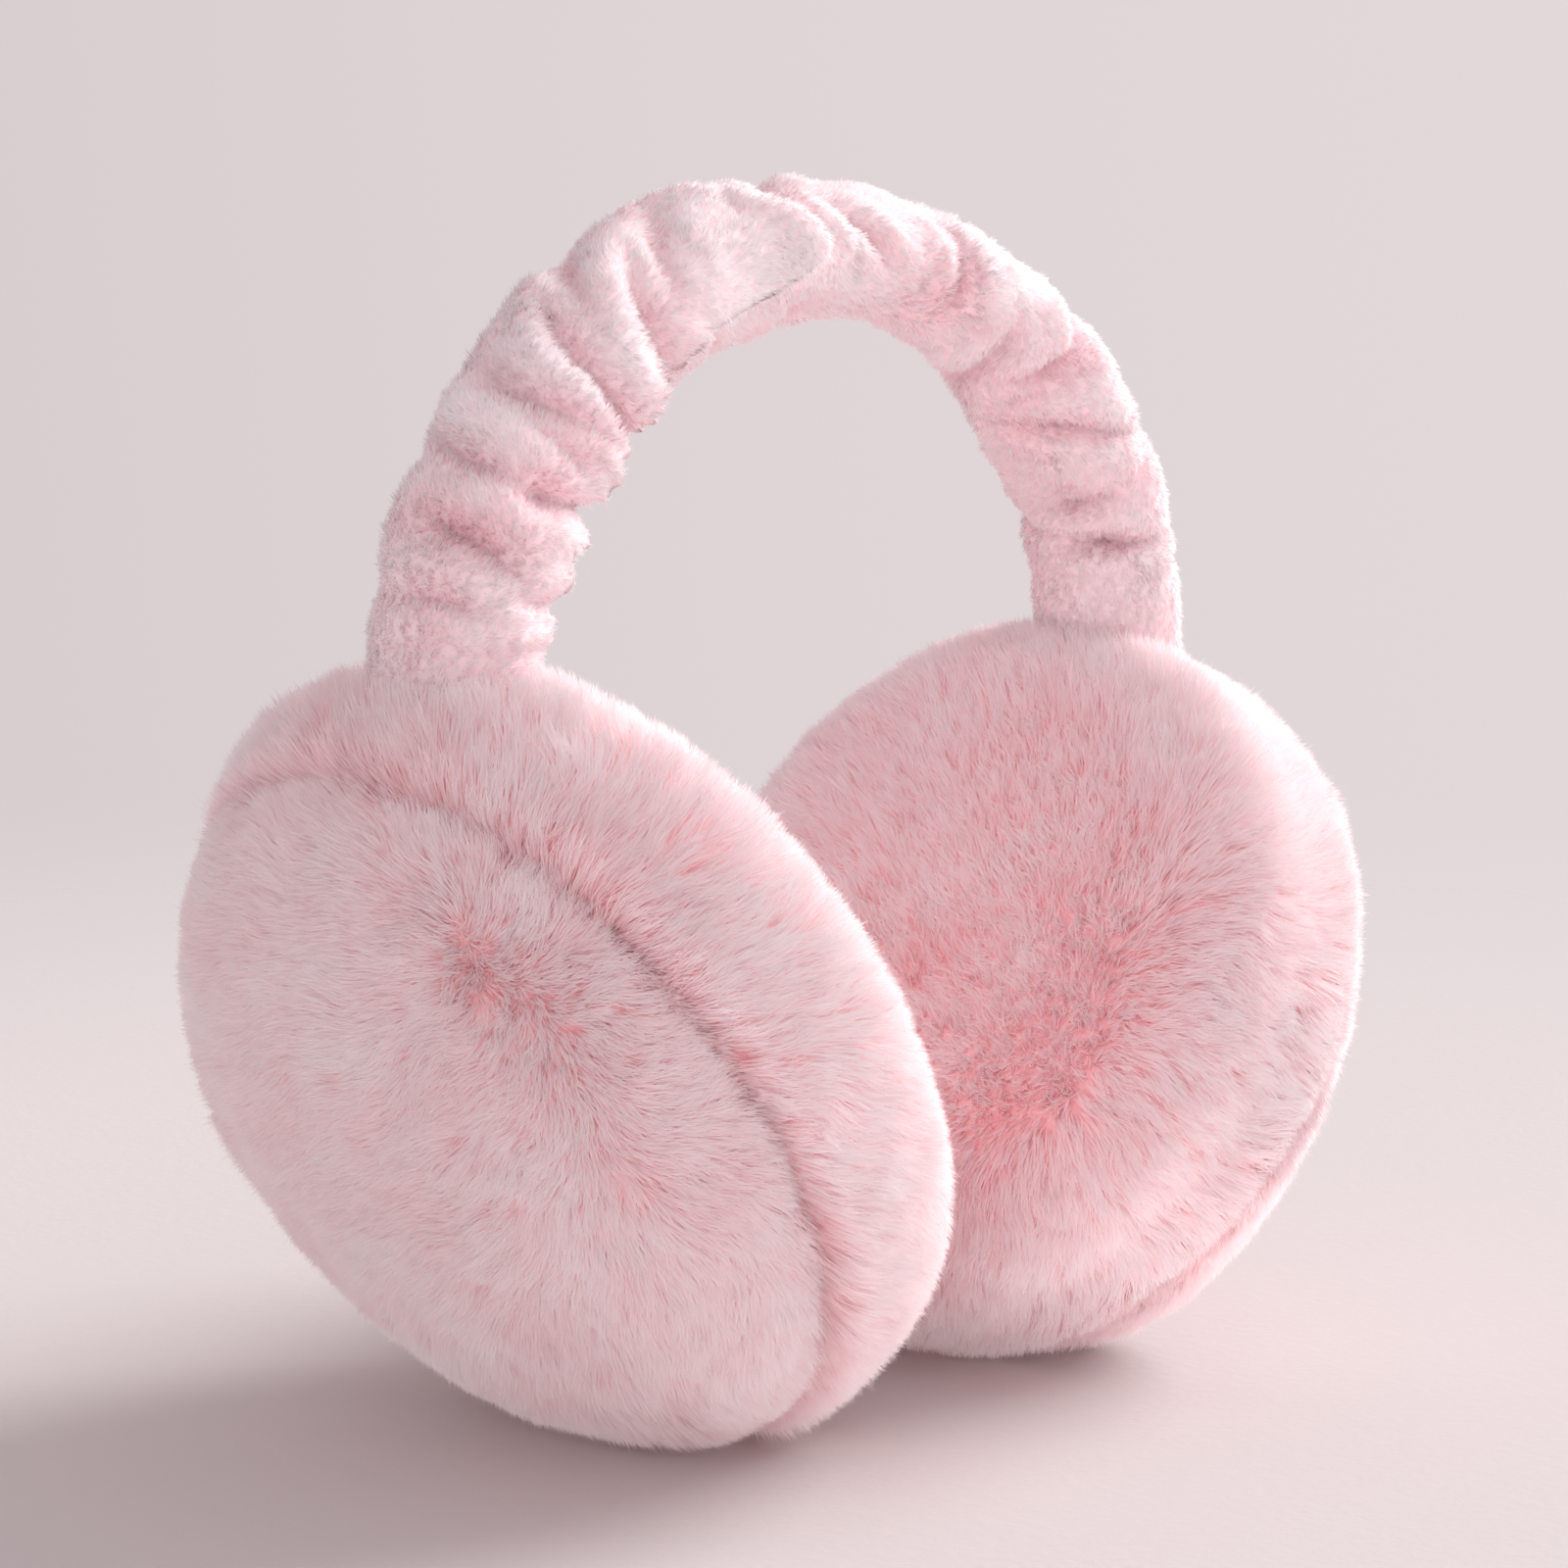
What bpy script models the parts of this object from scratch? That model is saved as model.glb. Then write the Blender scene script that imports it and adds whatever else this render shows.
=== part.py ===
"""Fluffy earmuffs: a gathered plush sleeve over a head band, and two stuffed fur cups.

Metres, +Z up. X runs from ear to ear, -Y is the front, and the floor is at z = 0.
Each cup is two stuffed fur halves, an outer dome and an inner ear pad, that meet at a seam.
The deep fur has its outer form in staggered locks, raised in code on each half.
"""

import math

import bmesh
import bpy
from mathutils import Vector

# Ear cups
DOME_RADIUS = 0.0612  # radius of the outer half
PAD_RADIUS = 0.0638  # widest radius of the inner half
SEAM_INSET = 0.0032  # how far the seam lies inside the dome's radius
SEAM_ROUND = 0.0030  # how far from the seam plane the dome starts to tuck into the seam
DOME_DEPTH = 0.0295  # seam plane to the dome's top
DOME_OFFSET = 0.0035  # how far the dome's curve is centred beyond the seam plane, towards the ear
PAD_DEPTH = 0.0378  # seam plane to the pad's rim
PAD_BULGE = 0.0045  # seam plane to the pad's widest ring
PAD_SAG = 0.0012  # how far the pad's middle lies below the dome's
PAD_DISH = 0.0040  # how far the ear face lies below the pad's rim
PAD_FACE_RADIUS = 0.0500  # radius of the dished ear face
DISH_FLATNESS = 2.0  # exponent of the dish's section: more is flatter in the middle
DOME_FULLNESS = 2.10  # exponent of the dome's section: 2 is an ellipse, more is boxier
PAD_FULLNESS = 4.2
SEAM_GAP = 0.0003
CUP_TILT = math.radians(29.7)  # how far each cup leans, with its foot towards the other cup
CUP_SPREAD = 0.0605  # middle plane to each seam plane's centre
SETTLE = 0.0018  # how far the fur is pressed flat where a cup stands

# Fur locks
LOCK_COLUMNS = 24  # locks side by side round a half
RINGS_PER_LOCK = 3
LOCK_RELIEF = 0.0017  # how far a lock's tip stands proud
FACE_LOCK_RELIEF = 0.0006  # the same on the short fur of the ear face
LOCK_RISE_MIDDLE = (0.30, 0.70, 1.00)  # a lock's height along its middle, as shares of its relief
LOCK_RISE_EDGE = (0.10, 0.05, 0.35)  # the same along its edges
FUR_RINGS = 18  # rings of points from a half's middle to its seam
BACK_RINGS = 2  # rings of points on its flat back

# Head band sleeve
BAND_HALF_WIDTH = 0.0724  # centre line's half width
BAND_RISE = 0.0682  # centre line's height above its widest point
BAND_HEIGHT = 0.1104  # floor to the centre line's widest point
BAND_SHIFT = 0.0014  # how far the worn band stands off the middle plane
BAND_SWEEP = math.radians(93.0)  # how far the band runs each way from its top
SLEEVE_HALF_THICKNESS = 0.0117  # across the band, towards the head
SLEEVE_HALF_BREADTH = 0.0145  # front to back
SLEEVE_CLEARANCE = 0.0003
NECK_LENGTH = 0.0120  # plain stretch at each end, inside the cup
SLEEVE_SECTORS = 20
SLEEVE_STATIONS = 96
SLEEVE_FULLNESS = (  # share of the length, share of the half thickness and of the half breadth
    (0.00, 0.96, 0.96),
    (0.12, 1.00, 0.99),
    (0.27, 1.05, 1.00),
    (0.42, 1.00, 1.00),
    (0.53, 0.87, 1.00),
    (0.64, 0.82, 1.00),
    (0.78, 0.90, 1.00),
    (0.90, 0.93, 0.98),
    (1.00, 0.90, 0.96),
)

# The overlapped fold on top of the sleeve
LIP_PLACE = 0.452  # its foremost point, as a share of the sleeve's length
LIP_SIDE = math.radians(80.0)  # where that point lies round the sleeve
LIP_SWEEP_TOP = 0.06  # how far its edge falls back a quarter turn away, as a share of the length
LIP_SWEEP_HEAD = 0.80  # the same on the side towards the head
LIP_REACH = 1.2  # quarter turns from the foremost point at which it fades out
LIP_FADE = 4.0  # exponent of that fading
LIP_RISE = 0.0020
LIP_RUN = 0.085  # share of the length over which it rises
LIP_UNDERCUT = 0.5  # depth of the dip past its edge, as a share of the rise
LIP_DROP = 0.010  # share of the length over which it drops

# Gathers in the sleeve. Lengths are shares of the sleeve's length, depth is a share of its
# half thickness, and angles are degrees round it: 0 outside, 90 front, 180 towards the head.
SHOULDER_HEIGHT = 0.45  # a crease's raised shoulders, as a share of its depth
SHOULDER_PLACE = 2.0  # how many widths from the crease they stand
# along, around, reach, depth, width, slant over a quarter turn
GATHERS = (
    (0.075, 60, 150, 0.10, 0.010, 0.004),
    (0.105, 20, 95, 0.14, 0.013, -0.012),
    (0.118, 140, 70, 0.16, 0.013, 0.010),
    (0.141, 48, 62, 0.24, 0.013, -0.022),
    (0.165, 250, 90, 0.20, 0.015, 0.010),
    (0.183, 15, 70, 0.20, 0.013, -0.005),
    (0.190, 130, 60, 0.22, 0.013, 0.020),
    (0.210, 85, 50, 0.14, 0.012, -0.012),
    (0.230, 45, 85, 0.22, 0.013, 0.006),
    (0.265, 75, 70, 0.30, 0.014, -0.020),
    (0.275, 230, 85, 0.20, 0.015, 0.016),
    (0.300, 20, 70, 0.20, 0.014, -0.022),
    (0.320, 75, 60, 0.16, 0.013, -0.030),
    (0.355, 40, 60, 0.14, 0.014, -0.030),
    (0.370, 255, 90, 0.20, 0.016, 0.012),
    (0.455, 190, 70, 0.18, 0.015, 0.014),
    (0.475, 330, 60, 0.22, 0.016, -0.030),
    (0.497, 80, 48, 0.18, 0.012, 0.035),
    (0.535, 285, 90, 0.20, 0.016, 0.016),
    (0.560, 340, 55, 0.20, 0.016, 0.024),
    (0.600, 110, 60, 0.18, 0.014, 0.020),
    (0.660, 280, 85, 0.20, 0.016, -0.014),
    (0.675, 160, 60, 0.24, 0.014, 0.016),
    (0.713, 110, 70, 0.24, 0.014, -0.030),
    (0.716, 50, 40, 0.20, 0.013, 0.000),
    (0.765, 265, 90, 0.20, 0.016, -0.010),
    (0.768, 120, 75, 0.26, 0.013, -0.050),
    (0.815, 40, 70, 0.18, 0.014, 0.016),
    (0.835, 150, 55, 0.20, 0.013, 0.010),
    (0.870, 240, 90, 0.18, 0.015, 0.012),
    (0.881, 130, 60, 0.22, 0.013, -0.012),
    (0.925, 60, 150, 0.10, 0.010, -0.004),
)

# Small pockets between the gathers, in the same shares and degrees
# along, around, spread along, spread around, depth
POCKETS = (
    (0.169, 88, 0.012, 18, 0.28),
    (0.642, 148, 0.014, 18, 0.30),
    (0.831, 153, 0.012, 18, 0.28),
    (0.881, 136, 0.012, 18, 0.24),
)

# Bulges and dents of the stuffed cups. A height is a share of the dome's radius, a place is a
# share of the way from a half's middle to its seam, and around is 0 on top and 90 in front.
# cup, half, around, place, spread around, spread of place, height
BULGES = (
    ("left", "pad", 345, 0.90, 50, 0.22, 0.095),
    ("left", "pad", 40, 0.70, 45, 0.22, 0.035),
    ("left", "pad", 150, 0.85, 40, 0.25, 0.035),
    ("left", "dome", 40, 0.55, 50, 0.25, -0.020),
    ("left", "dome", 20, 0.88, 50, 0.16, 0.020),
    ("left", "dome", 150, 0.90, 40, 0.20, 0.025),
    ("right", "dome", 65, 0.80, 55, 0.35, -0.070),
    ("right", "pad", 60, 0.85, 55, 0.25, -0.070),
    ("right", "pad", 130, 0.90, 35, 0.18, -0.060),
    ("right", "pad", 160, 0.60, 40, 0.12, 0.025),
    ("right", "dome", 150, 0.80, 45, 0.30, 0.045),
    ("right", "dome", 250, 0.50, 60, 0.25, 0.020),
)

COLOURS = {  # base colour and roughness of each material
    "long_fur": ((0.86, 0.55, 0.56, 1.0), 0.95),
    "plush_sleeve": ((0.90, 0.62, 0.64, 1.0), 0.90),
}
CUP_SIDES = {"left": -1.0, "right": 1.0}
PROFILE_STEPS = 60  # points on each curve of a section before it is spaced evenly


def clear_scene():
    for stale in list(bpy.data.objects):
        bpy.data.objects.remove(stale, do_unlink=True)


def new_collection(name):
    collection = bpy.data.collections.new(name)
    bpy.context.scene.collection.children.link(collection)
    return collection


def material(name):
    colour, roughness = COLOURS[name]
    made = bpy.data.materials.get(name) or bpy.data.materials.new(name)
    made.use_nodes = True
    shader = made.node_tree.nodes["Principled BSDF"]
    shader.inputs["Base Color"].default_value = colour
    shader.inputs["Roughness"].default_value = roughness
    shader.inputs["Metallic"].default_value = 0.0
    made.diffuse_color = colour
    return made


def evenly(points, count):
    """count + 1 points at even spacing along a line of (radius, height) points."""
    lengths = [0.0]
    for before, after in zip(points, points[1:]):
        lengths.append(lengths[-1] + math.dist(before, after))
    spaced, at = [], 0
    for step in range(count + 1):
        wanted = lengths[-1] * step / count
        while at < len(lengths) - 2 and lengths[at + 1] < wanted:
            at += 1
        share = (wanted - lengths[at]) / (lengths[at + 1] - lengths[at])
        spaced.append(tuple(a + share * (b - a) for a, b in zip(points[at], points[at + 1])))
    return spaced


def quarter_turns():
    return [math.pi / 2 * step / PROFILE_STEPS for step in range(PROFILE_STEPS + 1)]


def dome_section():
    """(radius, height above the seam plane) from the dome's top to its seam."""
    seam = DOME_RADIUS - SEAM_INSET
    crown = DOME_DEPTH + DOME_OFFSET
    power = 2 / DOME_FULLNESS
    line = [
        (DOME_RADIUS * math.sin(a) ** power, crown * max(math.cos(a), 0.0) ** power - DOME_OFFSET)
        for a in quarter_turns()
    ]
    line = [point for point in line if point[1] > SEAM_ROUND]
    inset = line[-1][0] - seam
    tuck = line[-1][1] - SEAM_GAP / 2
    line += [
        (seam + inset * math.cos(a), SEAM_GAP / 2 + tuck * (1 - math.sin(a)))
        for a in quarter_turns()[1:]
    ]
    return evenly(line, FUR_RINGS)


def pad_section():
    """(radius, height below the seam plane) from the middle of the ear face to the seam."""
    seam = DOME_RADIUS - SEAM_INSET
    crown = PAD_DEPTH - PAD_BULGE
    power = 2 / PAD_FULLNESS
    line = []
    for a in quarter_turns():
        radius = PAD_RADIUS * math.sin(a) ** power
        height = PAD_BULGE + crown * max(math.cos(a), 0.0) ** power
        inside = max(0.0, 1 - (radius / PAD_FACE_RADIUS) ** 2)
        line.append((radius, height - PAD_DISH * (1 - (1 - inside) ** DISH_FLATNESS)))
    tuck = PAD_BULGE - SEAM_GAP / 2
    line += [
        (seam + (PAD_RADIUS - seam) * math.cos(a), PAD_BULGE - tuck * math.sin(a))
        for a in quarter_turns()[1:]
    ]
    return evenly(line, FUR_RINGS)


def section_normals(section):
    """Outward (radius, height) directions at each point of a section."""
    normals = []
    for i, point in enumerate(section):
        before, after = section[max(i - 1, 0)], section[min(i + 1, len(section) - 1)]
        along = (after[0] - before[0], after[1] - before[1])
        length = math.hypot(*along) or 1.0
        normals.append((-along[1] / length, along[0] / length) if point[0] > 0 else (0.0, 1.0))
    return normals


def turn_between(a, b):
    """The smaller turn from angle b to angle a, in degrees."""
    return (a - b + 180.0) % 360.0 - 180.0


def lock_relief(ring, sector, radius, half):
    """How far a fur lock stands proud at a point of the grid of rings and sectors."""
    row, step = divmod(ring, RINGS_PER_LOCK)
    middle = (sector + row) % 2 == 0
    rise = (LOCK_RISE_MIDDLE if middle else LOCK_RISE_EDGE)[step]
    on_face = half == "pad" and radius < PAD_FACE_RADIUS
    relief = FACE_LOCK_RELIEF if on_face else LOCK_RELIEF
    at_seam = min(1.0, (FUR_RINGS - ring) / RINGS_PER_LOCK)
    at_middle = min(1.0, ring / (2 * RINGS_PER_LOCK)) ** 2
    return relief * rise * at_seam * at_middle


def bulge(cup, half, around, place):
    total = 0.0
    for row_cup, row_half, at, at_place, spread, place_spread, height in BULGES:
        if (row_cup, row_half) != (cup, half):
            continue
        turn = turn_between(around, at) / spread
        off = (place - at_place) / place_spread
        total += height * DOME_RADIUS * math.exp(-(turn**2) - off**2)
    seam_fade = min(1.0, (1.0 - place) * FUR_RINGS / RINGS_PER_LOCK)
    return total * seam_fade


def cup_frame(cup):
    """(seam plane's centre, direction away from the head, direction up the cup)."""
    side = CUP_SIDES[cup]
    away = Vector((side * math.cos(CUP_TILT), 0.0, -math.sin(CUP_TILT)))
    up = Vector((side * math.sin(CUP_TILT), 0.0, math.cos(CUP_TILT)))
    lowest = max(
        radius * math.cos(CUP_TILT) + height * math.sin(CUP_TILT)
        for radius, height in dome_section()
    )
    return Vector((side * CUP_SPREAD, 0.0, lowest - SETTLE)), away, up


def fur_half(cup, half, collection):
    """One stuffed half of a cup: a sphere primitive whose rings follow the half's section."""
    section = dome_section() if half == "dome" else pad_section()
    normals = section_normals(section)
    centre, away, up = cup_frame(cup)
    outward = away if half == "dome" else -away
    front = Vector((0.0, -1.0, 0.0))
    rings = FUR_RINGS + BACK_RINGS
    sectors = 2 * LOCK_COLUMNS
    shape = bmesh.new()
    bmesh.ops.create_uvsphere(shape, u_segments=sectors, v_segments=rings, radius=1.0)
    for vertex in shape.verts:
        ring = round(math.acos(max(-1.0, min(1.0, vertex.co.z))) / math.pi * rings)
        angle = math.atan2(vertex.co.y, vertex.co.x)
        sector = round(angle / math.tau * sectors) % sectors
        if ring <= FUR_RINGS:
            radius, height = section[ring]
            lift = lock_relief(ring, sector, radius, half)
            lift += bulge(cup, half, math.degrees(angle) % 360.0, ring / FUR_RINGS)
            radius += normals[ring][0] * lift
            height += normals[ring][1] * lift
        else:
            share = (rings - ring) / BACK_RINGS
            radius, height = section[-1][0] * share, section[-1][1]
        point = centre + outward * height - up * (PAD_SAG if half == "pad" else 0.0)
        point += radius * (math.cos(angle) * up + math.sin(angle) * front)
        point.z = max(point.z, 0.0)
        vertex.co = point
    made = mesh_object(f"{cup}_{half}_fur", shape, collection)
    made.data.materials.append(material("long_fur"))
    return made


def mesh_object(name, shape, collection):
    if shape.calc_volume(signed=True) < 0:
        bmesh.ops.reverse_faces(shape, faces=shape.faces)
    mesh = bpy.data.meshes.new(name)
    shape.to_mesh(mesh)
    shape.free()
    mesh.shade_smooth()
    made = bpy.data.objects.new(name, mesh)
    collection.objects.link(made)
    return made


def lip_lift(along, angle):
    """Height of the overlapped fold: it rises slowly, then drops at a curved edge."""
    turn = turn_between(math.degrees(angle), math.degrees(LIP_SIDE)) / 90.0
    sweep = LIP_SWEEP_HEAD if turn > 0 else LIP_SWEEP_TOP
    past = along - (LIP_PLACE - sweep * turn**2)
    over = LIP_RISE * math.exp(-(abs(turn / LIP_REACH) ** LIP_FADE))
    if past <= 0:
        return over * math.exp(past / LIP_RUN)
    return -LIP_UNDERCUT * over * math.exp(-past / LIP_DROP)


def gather_lift(along, angle):
    """Creases with a raised shoulder on each side, from the table of gathers."""
    lift = 0.0
    for at, around, reach, depth, width, slant in GATHERS:
        turn = turn_between(math.degrees(angle), around)
        if abs(turn) >= reach:
            continue
        off = abs(along - at - slant * turn / 90.0) / width
        hold = math.cos(math.pi / 2 * turn / reach)
        crease = -math.exp(-(off**2)) + SHOULDER_HEIGHT * math.exp(-((off - SHOULDER_PLACE) ** 2))
        lift += depth * SLEEVE_HALF_THICKNESS * hold * crease
    return lift


def pocket_lift(along, angle):
    """Small hollows where gathers meet, from the table of pockets."""
    lift = 0.0
    for at, around, spread, spread_around, depth in POCKETS:
        turn = turn_between(math.degrees(angle), around) / spread_around
        off = (along - at) / spread
        lift -= depth * SLEEVE_HALF_THICKNESS * math.exp(-(off**2) - turn**2)
    return lift


def fullness(along):
    """Shares of the sleeve's half thickness and half breadth at a share of its length."""
    for before, after in zip(SLEEVE_FULLNESS, SLEEVE_FULLNESS[1:]):
        if along <= after[0]:
            share = (along - before[0]) / (after[0] - before[0])
            return tuple(a + share * (b - a) for a, b in zip(before[1:], after[1:]))
    return SLEEVE_FULLNESS[-1][1:]


def sleeve_point(along, angle, grow):
    """A point on the sleeve's surface, moved out by grow."""
    turn = BAND_SWEEP * (2 * along - 1)
    outward = Vector((math.sin(turn) / BAND_HALF_WIDTH, 0.0, math.cos(turn) / BAND_RISE)).normalized()
    front = Vector((0.0, -1.0, 0.0))
    centre = Vector(
        (
            BAND_SHIFT + BAND_HALF_WIDTH * math.sin(turn),
            0.0,
            BAND_HEIGHT + BAND_RISE * math.cos(turn),
        )
    )
    length = 2 * BAND_SWEEP * (BAND_HALF_WIDTH + BAND_RISE) / 2
    from_end = min(along, 1 - along) * length
    loose = max(0.0, min(1.0, from_end / NECK_LENGTH - 1.0))
    lift = lip_lift(along, angle) + gather_lift(along, angle) + pocket_lift(along, angle)
    lift = loose * lift + grow
    thick, broad = fullness(along)
    return (
        centre
        + outward * math.cos(angle) * (SLEEVE_HALF_THICKNESS * thick + lift)
        + front * math.sin(angle) * (SLEEVE_HALF_BREADTH * broad + lift)
    )


def sleeve(name, grow, collection):
    """The gathered sleeve: a sphere primitive drawn out into a closed tube round the band."""
    shape = bmesh.new()
    bmesh.ops.create_uvsphere(
        shape, u_segments=SLEEVE_SECTORS, v_segments=SLEEVE_STATIONS, radius=1.0
    )
    for vertex in shape.verts:
        station = round(math.acos(max(-1.0, min(1.0, vertex.co.z))) / math.pi * SLEEVE_STATIONS)
        angle = math.atan2(vertex.co.y, vertex.co.x)
        along = (station - 1) / (SLEEVE_STATIONS - 2)
        if 0 < station < SLEEVE_STATIONS:
            vertex.co = sleeve_point(along, angle, grow)
        else:
            end = round(station / SLEEVE_STATIONS)
            vertex.co = (sleeve_point(end, 0.0, grow) + sleeve_point(end, math.pi, grow)) / 2
    return mesh_object(name, shape, collection)


def cut(solid, cutter):
    modifier = solid.modifiers.new("pocket", "BOOLEAN")
    modifier.operation = "DIFFERENCE"
    modifier.object = cutter


def main():
    clear_scene()
    parts = new_collection("fluffy_earmuffs")
    cutters = new_collection("cutters")
    band = sleeve("headband_sleeve", 0.0, parts)
    band.data.materials.append(material("plush_sleeve"))
    pocket = sleeve("pocket_cutter", SLEEVE_CLEARANCE, cutters)
    pocket.hide_render = True
    pocket.display_type = "WIRE"
    for cup in CUP_SIDES:
        fur_half(cup, "dome", parts)
        cut(fur_half(cup, "pad", parts), pocket)


main()
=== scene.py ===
"""Looks for the fluffy earmuffs: long fur on the cups, short plush on the gathered sleeve.

Metres, +Z up. The sizes repeat those of the part's source, so that every surface here lies on
its solid. Each cup half is a backing skin under many thin fur strands in one mesh. The sleeve is
a folded cloth tube with a nap of short strands over it.
"""

import math

import bpy
import numpy as np
from mathutils import Matrix, Vector

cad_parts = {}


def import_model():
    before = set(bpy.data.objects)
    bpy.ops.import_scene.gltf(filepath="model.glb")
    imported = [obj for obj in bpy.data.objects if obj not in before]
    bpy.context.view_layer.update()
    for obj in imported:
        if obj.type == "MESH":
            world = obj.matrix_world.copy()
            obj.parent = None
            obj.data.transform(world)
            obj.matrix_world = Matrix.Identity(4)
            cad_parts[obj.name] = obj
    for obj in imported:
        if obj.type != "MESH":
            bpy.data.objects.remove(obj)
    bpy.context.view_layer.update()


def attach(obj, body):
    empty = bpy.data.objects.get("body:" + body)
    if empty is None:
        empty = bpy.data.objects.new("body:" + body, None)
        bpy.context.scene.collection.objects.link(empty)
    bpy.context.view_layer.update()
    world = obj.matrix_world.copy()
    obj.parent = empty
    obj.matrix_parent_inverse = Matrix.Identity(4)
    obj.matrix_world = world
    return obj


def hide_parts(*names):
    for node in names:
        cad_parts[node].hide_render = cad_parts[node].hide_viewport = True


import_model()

# Sizes of the cups, as in the part's source
DOME_RADIUS = 0.0612
PAD_RADIUS = 0.0638
SEAM_INSET = 0.0032
SEAM_ROUND = 0.0030
DOME_DEPTH = 0.0295
DOME_OFFSET = 0.0035
PAD_DEPTH = 0.0378
PAD_BULGE = 0.0045
PAD_SAG = 0.0012
PAD_DISH = 0.0040
PAD_FACE_RADIUS = 0.0500
DOME_FULLNESS = 2.10
PAD_FULLNESS = 4.2
SEAM_GAP = 0.0003
CUP_TILT = math.radians(29.7)
CUP_SPREAD = 0.0605
SETTLE = 0.0018
CUP_SIDES = {"left": -1.0, "right": 1.0}

# Sizes of the head band sleeve, as in the part's source
BAND_HALF_WIDTH = 0.0724
BAND_RISE = 0.0682
BAND_HEIGHT = 0.1104
BAND_SHIFT = 0.0014
BAND_SWEEP = math.radians(93.0)
SLEEVE_HALF_THICKNESS = 0.0117
SLEEVE_HALF_BREADTH = 0.0145
NECK_LENGTH = 0.0120
SLEEVE_FULLNESS = (  # share of the length, share of the half thickness and of the half breadth
    (0.00, 0.96, 0.96),
    (0.12, 1.00, 0.99),
    (0.27, 1.05, 1.00),
    (0.42, 1.00, 1.00),
    (0.53, 0.87, 1.00),
    (0.64, 0.82, 1.00),
    (0.78, 0.90, 1.00),
    (0.90, 0.93, 0.98),
    (1.00, 0.90, 0.96),
)
LIP_PLACE = 0.452
LIP_SIDE = math.radians(80.0)
LIP_SWEEP_TOP = 0.06
LIP_SWEEP_HEAD = 0.80
LIP_REACH = 1.2
LIP_FADE = 4.0
LIP_RUN = 0.085

# The overlapped fold's edge, crisper on the cloth than on the solid
LIP_RISE = 0.0024
LIP_BEAD = 0.0008  # how far the edge is rolled up
LIP_BEAD_PLACE = 0.010  # share of the length from the edge to the roll
LIP_UNDERCUT = 0.25  # depth of the dip past the edge, as a share of the rise
LIP_STEP = 0.006  # share of the length over which the edge falls
LIP_DROP = 0.016  # share of the length over which the dip fades out

# Gathers in the sleeve, as in the part's source: shares of the length, and degrees round it
# along, around, reach, depth, width, slant over a quarter turn
GATHERS = (
    (0.075, 60, 150, 0.10, 0.010, 0.004),
    (0.105, 20, 95, 0.14, 0.013, -0.012),
    (0.118, 140, 70, 0.16, 0.013, 0.010),
    (0.141, 48, 62, 0.24, 0.013, -0.022),
    (0.165, 250, 90, 0.20, 0.015, 0.010),
    (0.183, 15, 70, 0.20, 0.013, -0.005),
    (0.190, 130, 60, 0.22, 0.013, 0.020),
    (0.210, 85, 50, 0.14, 0.012, -0.012),
    (0.230, 45, 85, 0.22, 0.013, 0.006),
    (0.265, 75, 70, 0.30, 0.014, -0.020),
    (0.275, 230, 85, 0.20, 0.015, 0.016),
    (0.300, 20, 70, 0.20, 0.014, -0.022),
    (0.320, 75, 60, 0.16, 0.013, -0.030),
    (0.355, 40, 60, 0.14, 0.014, -0.030),
    (0.370, 255, 90, 0.20, 0.016, 0.012),
    (0.455, 190, 70, 0.18, 0.015, 0.014),
    (0.475, 330, 60, 0.22, 0.016, -0.030),
    (0.497, 80, 48, 0.18, 0.012, 0.035),
    (0.535, 285, 90, 0.20, 0.016, 0.016),
    (0.560, 340, 55, 0.20, 0.016, 0.024),
    (0.600, 110, 60, 0.18, 0.014, 0.020),
    (0.660, 280, 85, 0.20, 0.016, -0.014),
    (0.675, 160, 60, 0.24, 0.014, 0.016),
    (0.713, 110, 70, 0.24, 0.014, -0.030),
    (0.716, 50, 40, 0.20, 0.013, 0.000),
    (0.765, 265, 90, 0.20, 0.016, -0.010),
    (0.768, 120, 75, 0.26, 0.013, -0.050),
    (0.815, 40, 70, 0.18, 0.014, 0.016),
    (0.835, 150, 55, 0.20, 0.013, 0.010),
    (0.870, 240, 90, 0.18, 0.015, 0.012),
    (0.881, 130, 60, 0.22, 0.013, -0.012),
    (0.925, 60, 150, 0.10, 0.010, -0.004),
)

# Small pockets between the gathers, as in the part's source
# along, around, spread along, spread around, depth
POCKETS = (
    (0.169, 88, 0.012, 18, 0.28),
    (0.642, 148, 0.014, 18, 0.30),
    (0.831, 153, 0.012, 18, 0.28),
    (0.881, 136, 0.012, 18, 0.24),
)

# Bulges and dents of the stuffed cups, as in the part's source
# cup, half, around, place, spread around, spread of place, height
BULGES = (
    ("left", "pad", 345, 0.90, 50, 0.22, 0.095),
    ("left", "pad", 40, 0.70, 45, 0.22, 0.035),
    ("left", "pad", 150, 0.85, 40, 0.25, 0.035),
    ("left", "dome", 40, 0.55, 50, 0.25, -0.020),
    ("left", "dome", 20, 0.88, 50, 0.16, 0.020),
    ("left", "dome", 150, 0.90, 40, 0.20, 0.025),
    ("right", "dome", 65, 0.80, 55, 0.35, -0.070),
    ("right", "pad", 60, 0.85, 55, 0.25, -0.070),
    ("right", "pad", 130, 0.90, 35, 0.18, -0.060),
    ("right", "pad", 160, 0.60, 40, 0.12, 0.025),
    ("right", "dome", 150, 0.80, 45, 0.30, 0.045),
    ("right", "dome", 250, 0.50, 60, 0.25, 0.020),
)
SEAM_FADE = 6.0  # how fast a bulge grows with the distance from the seam

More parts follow.
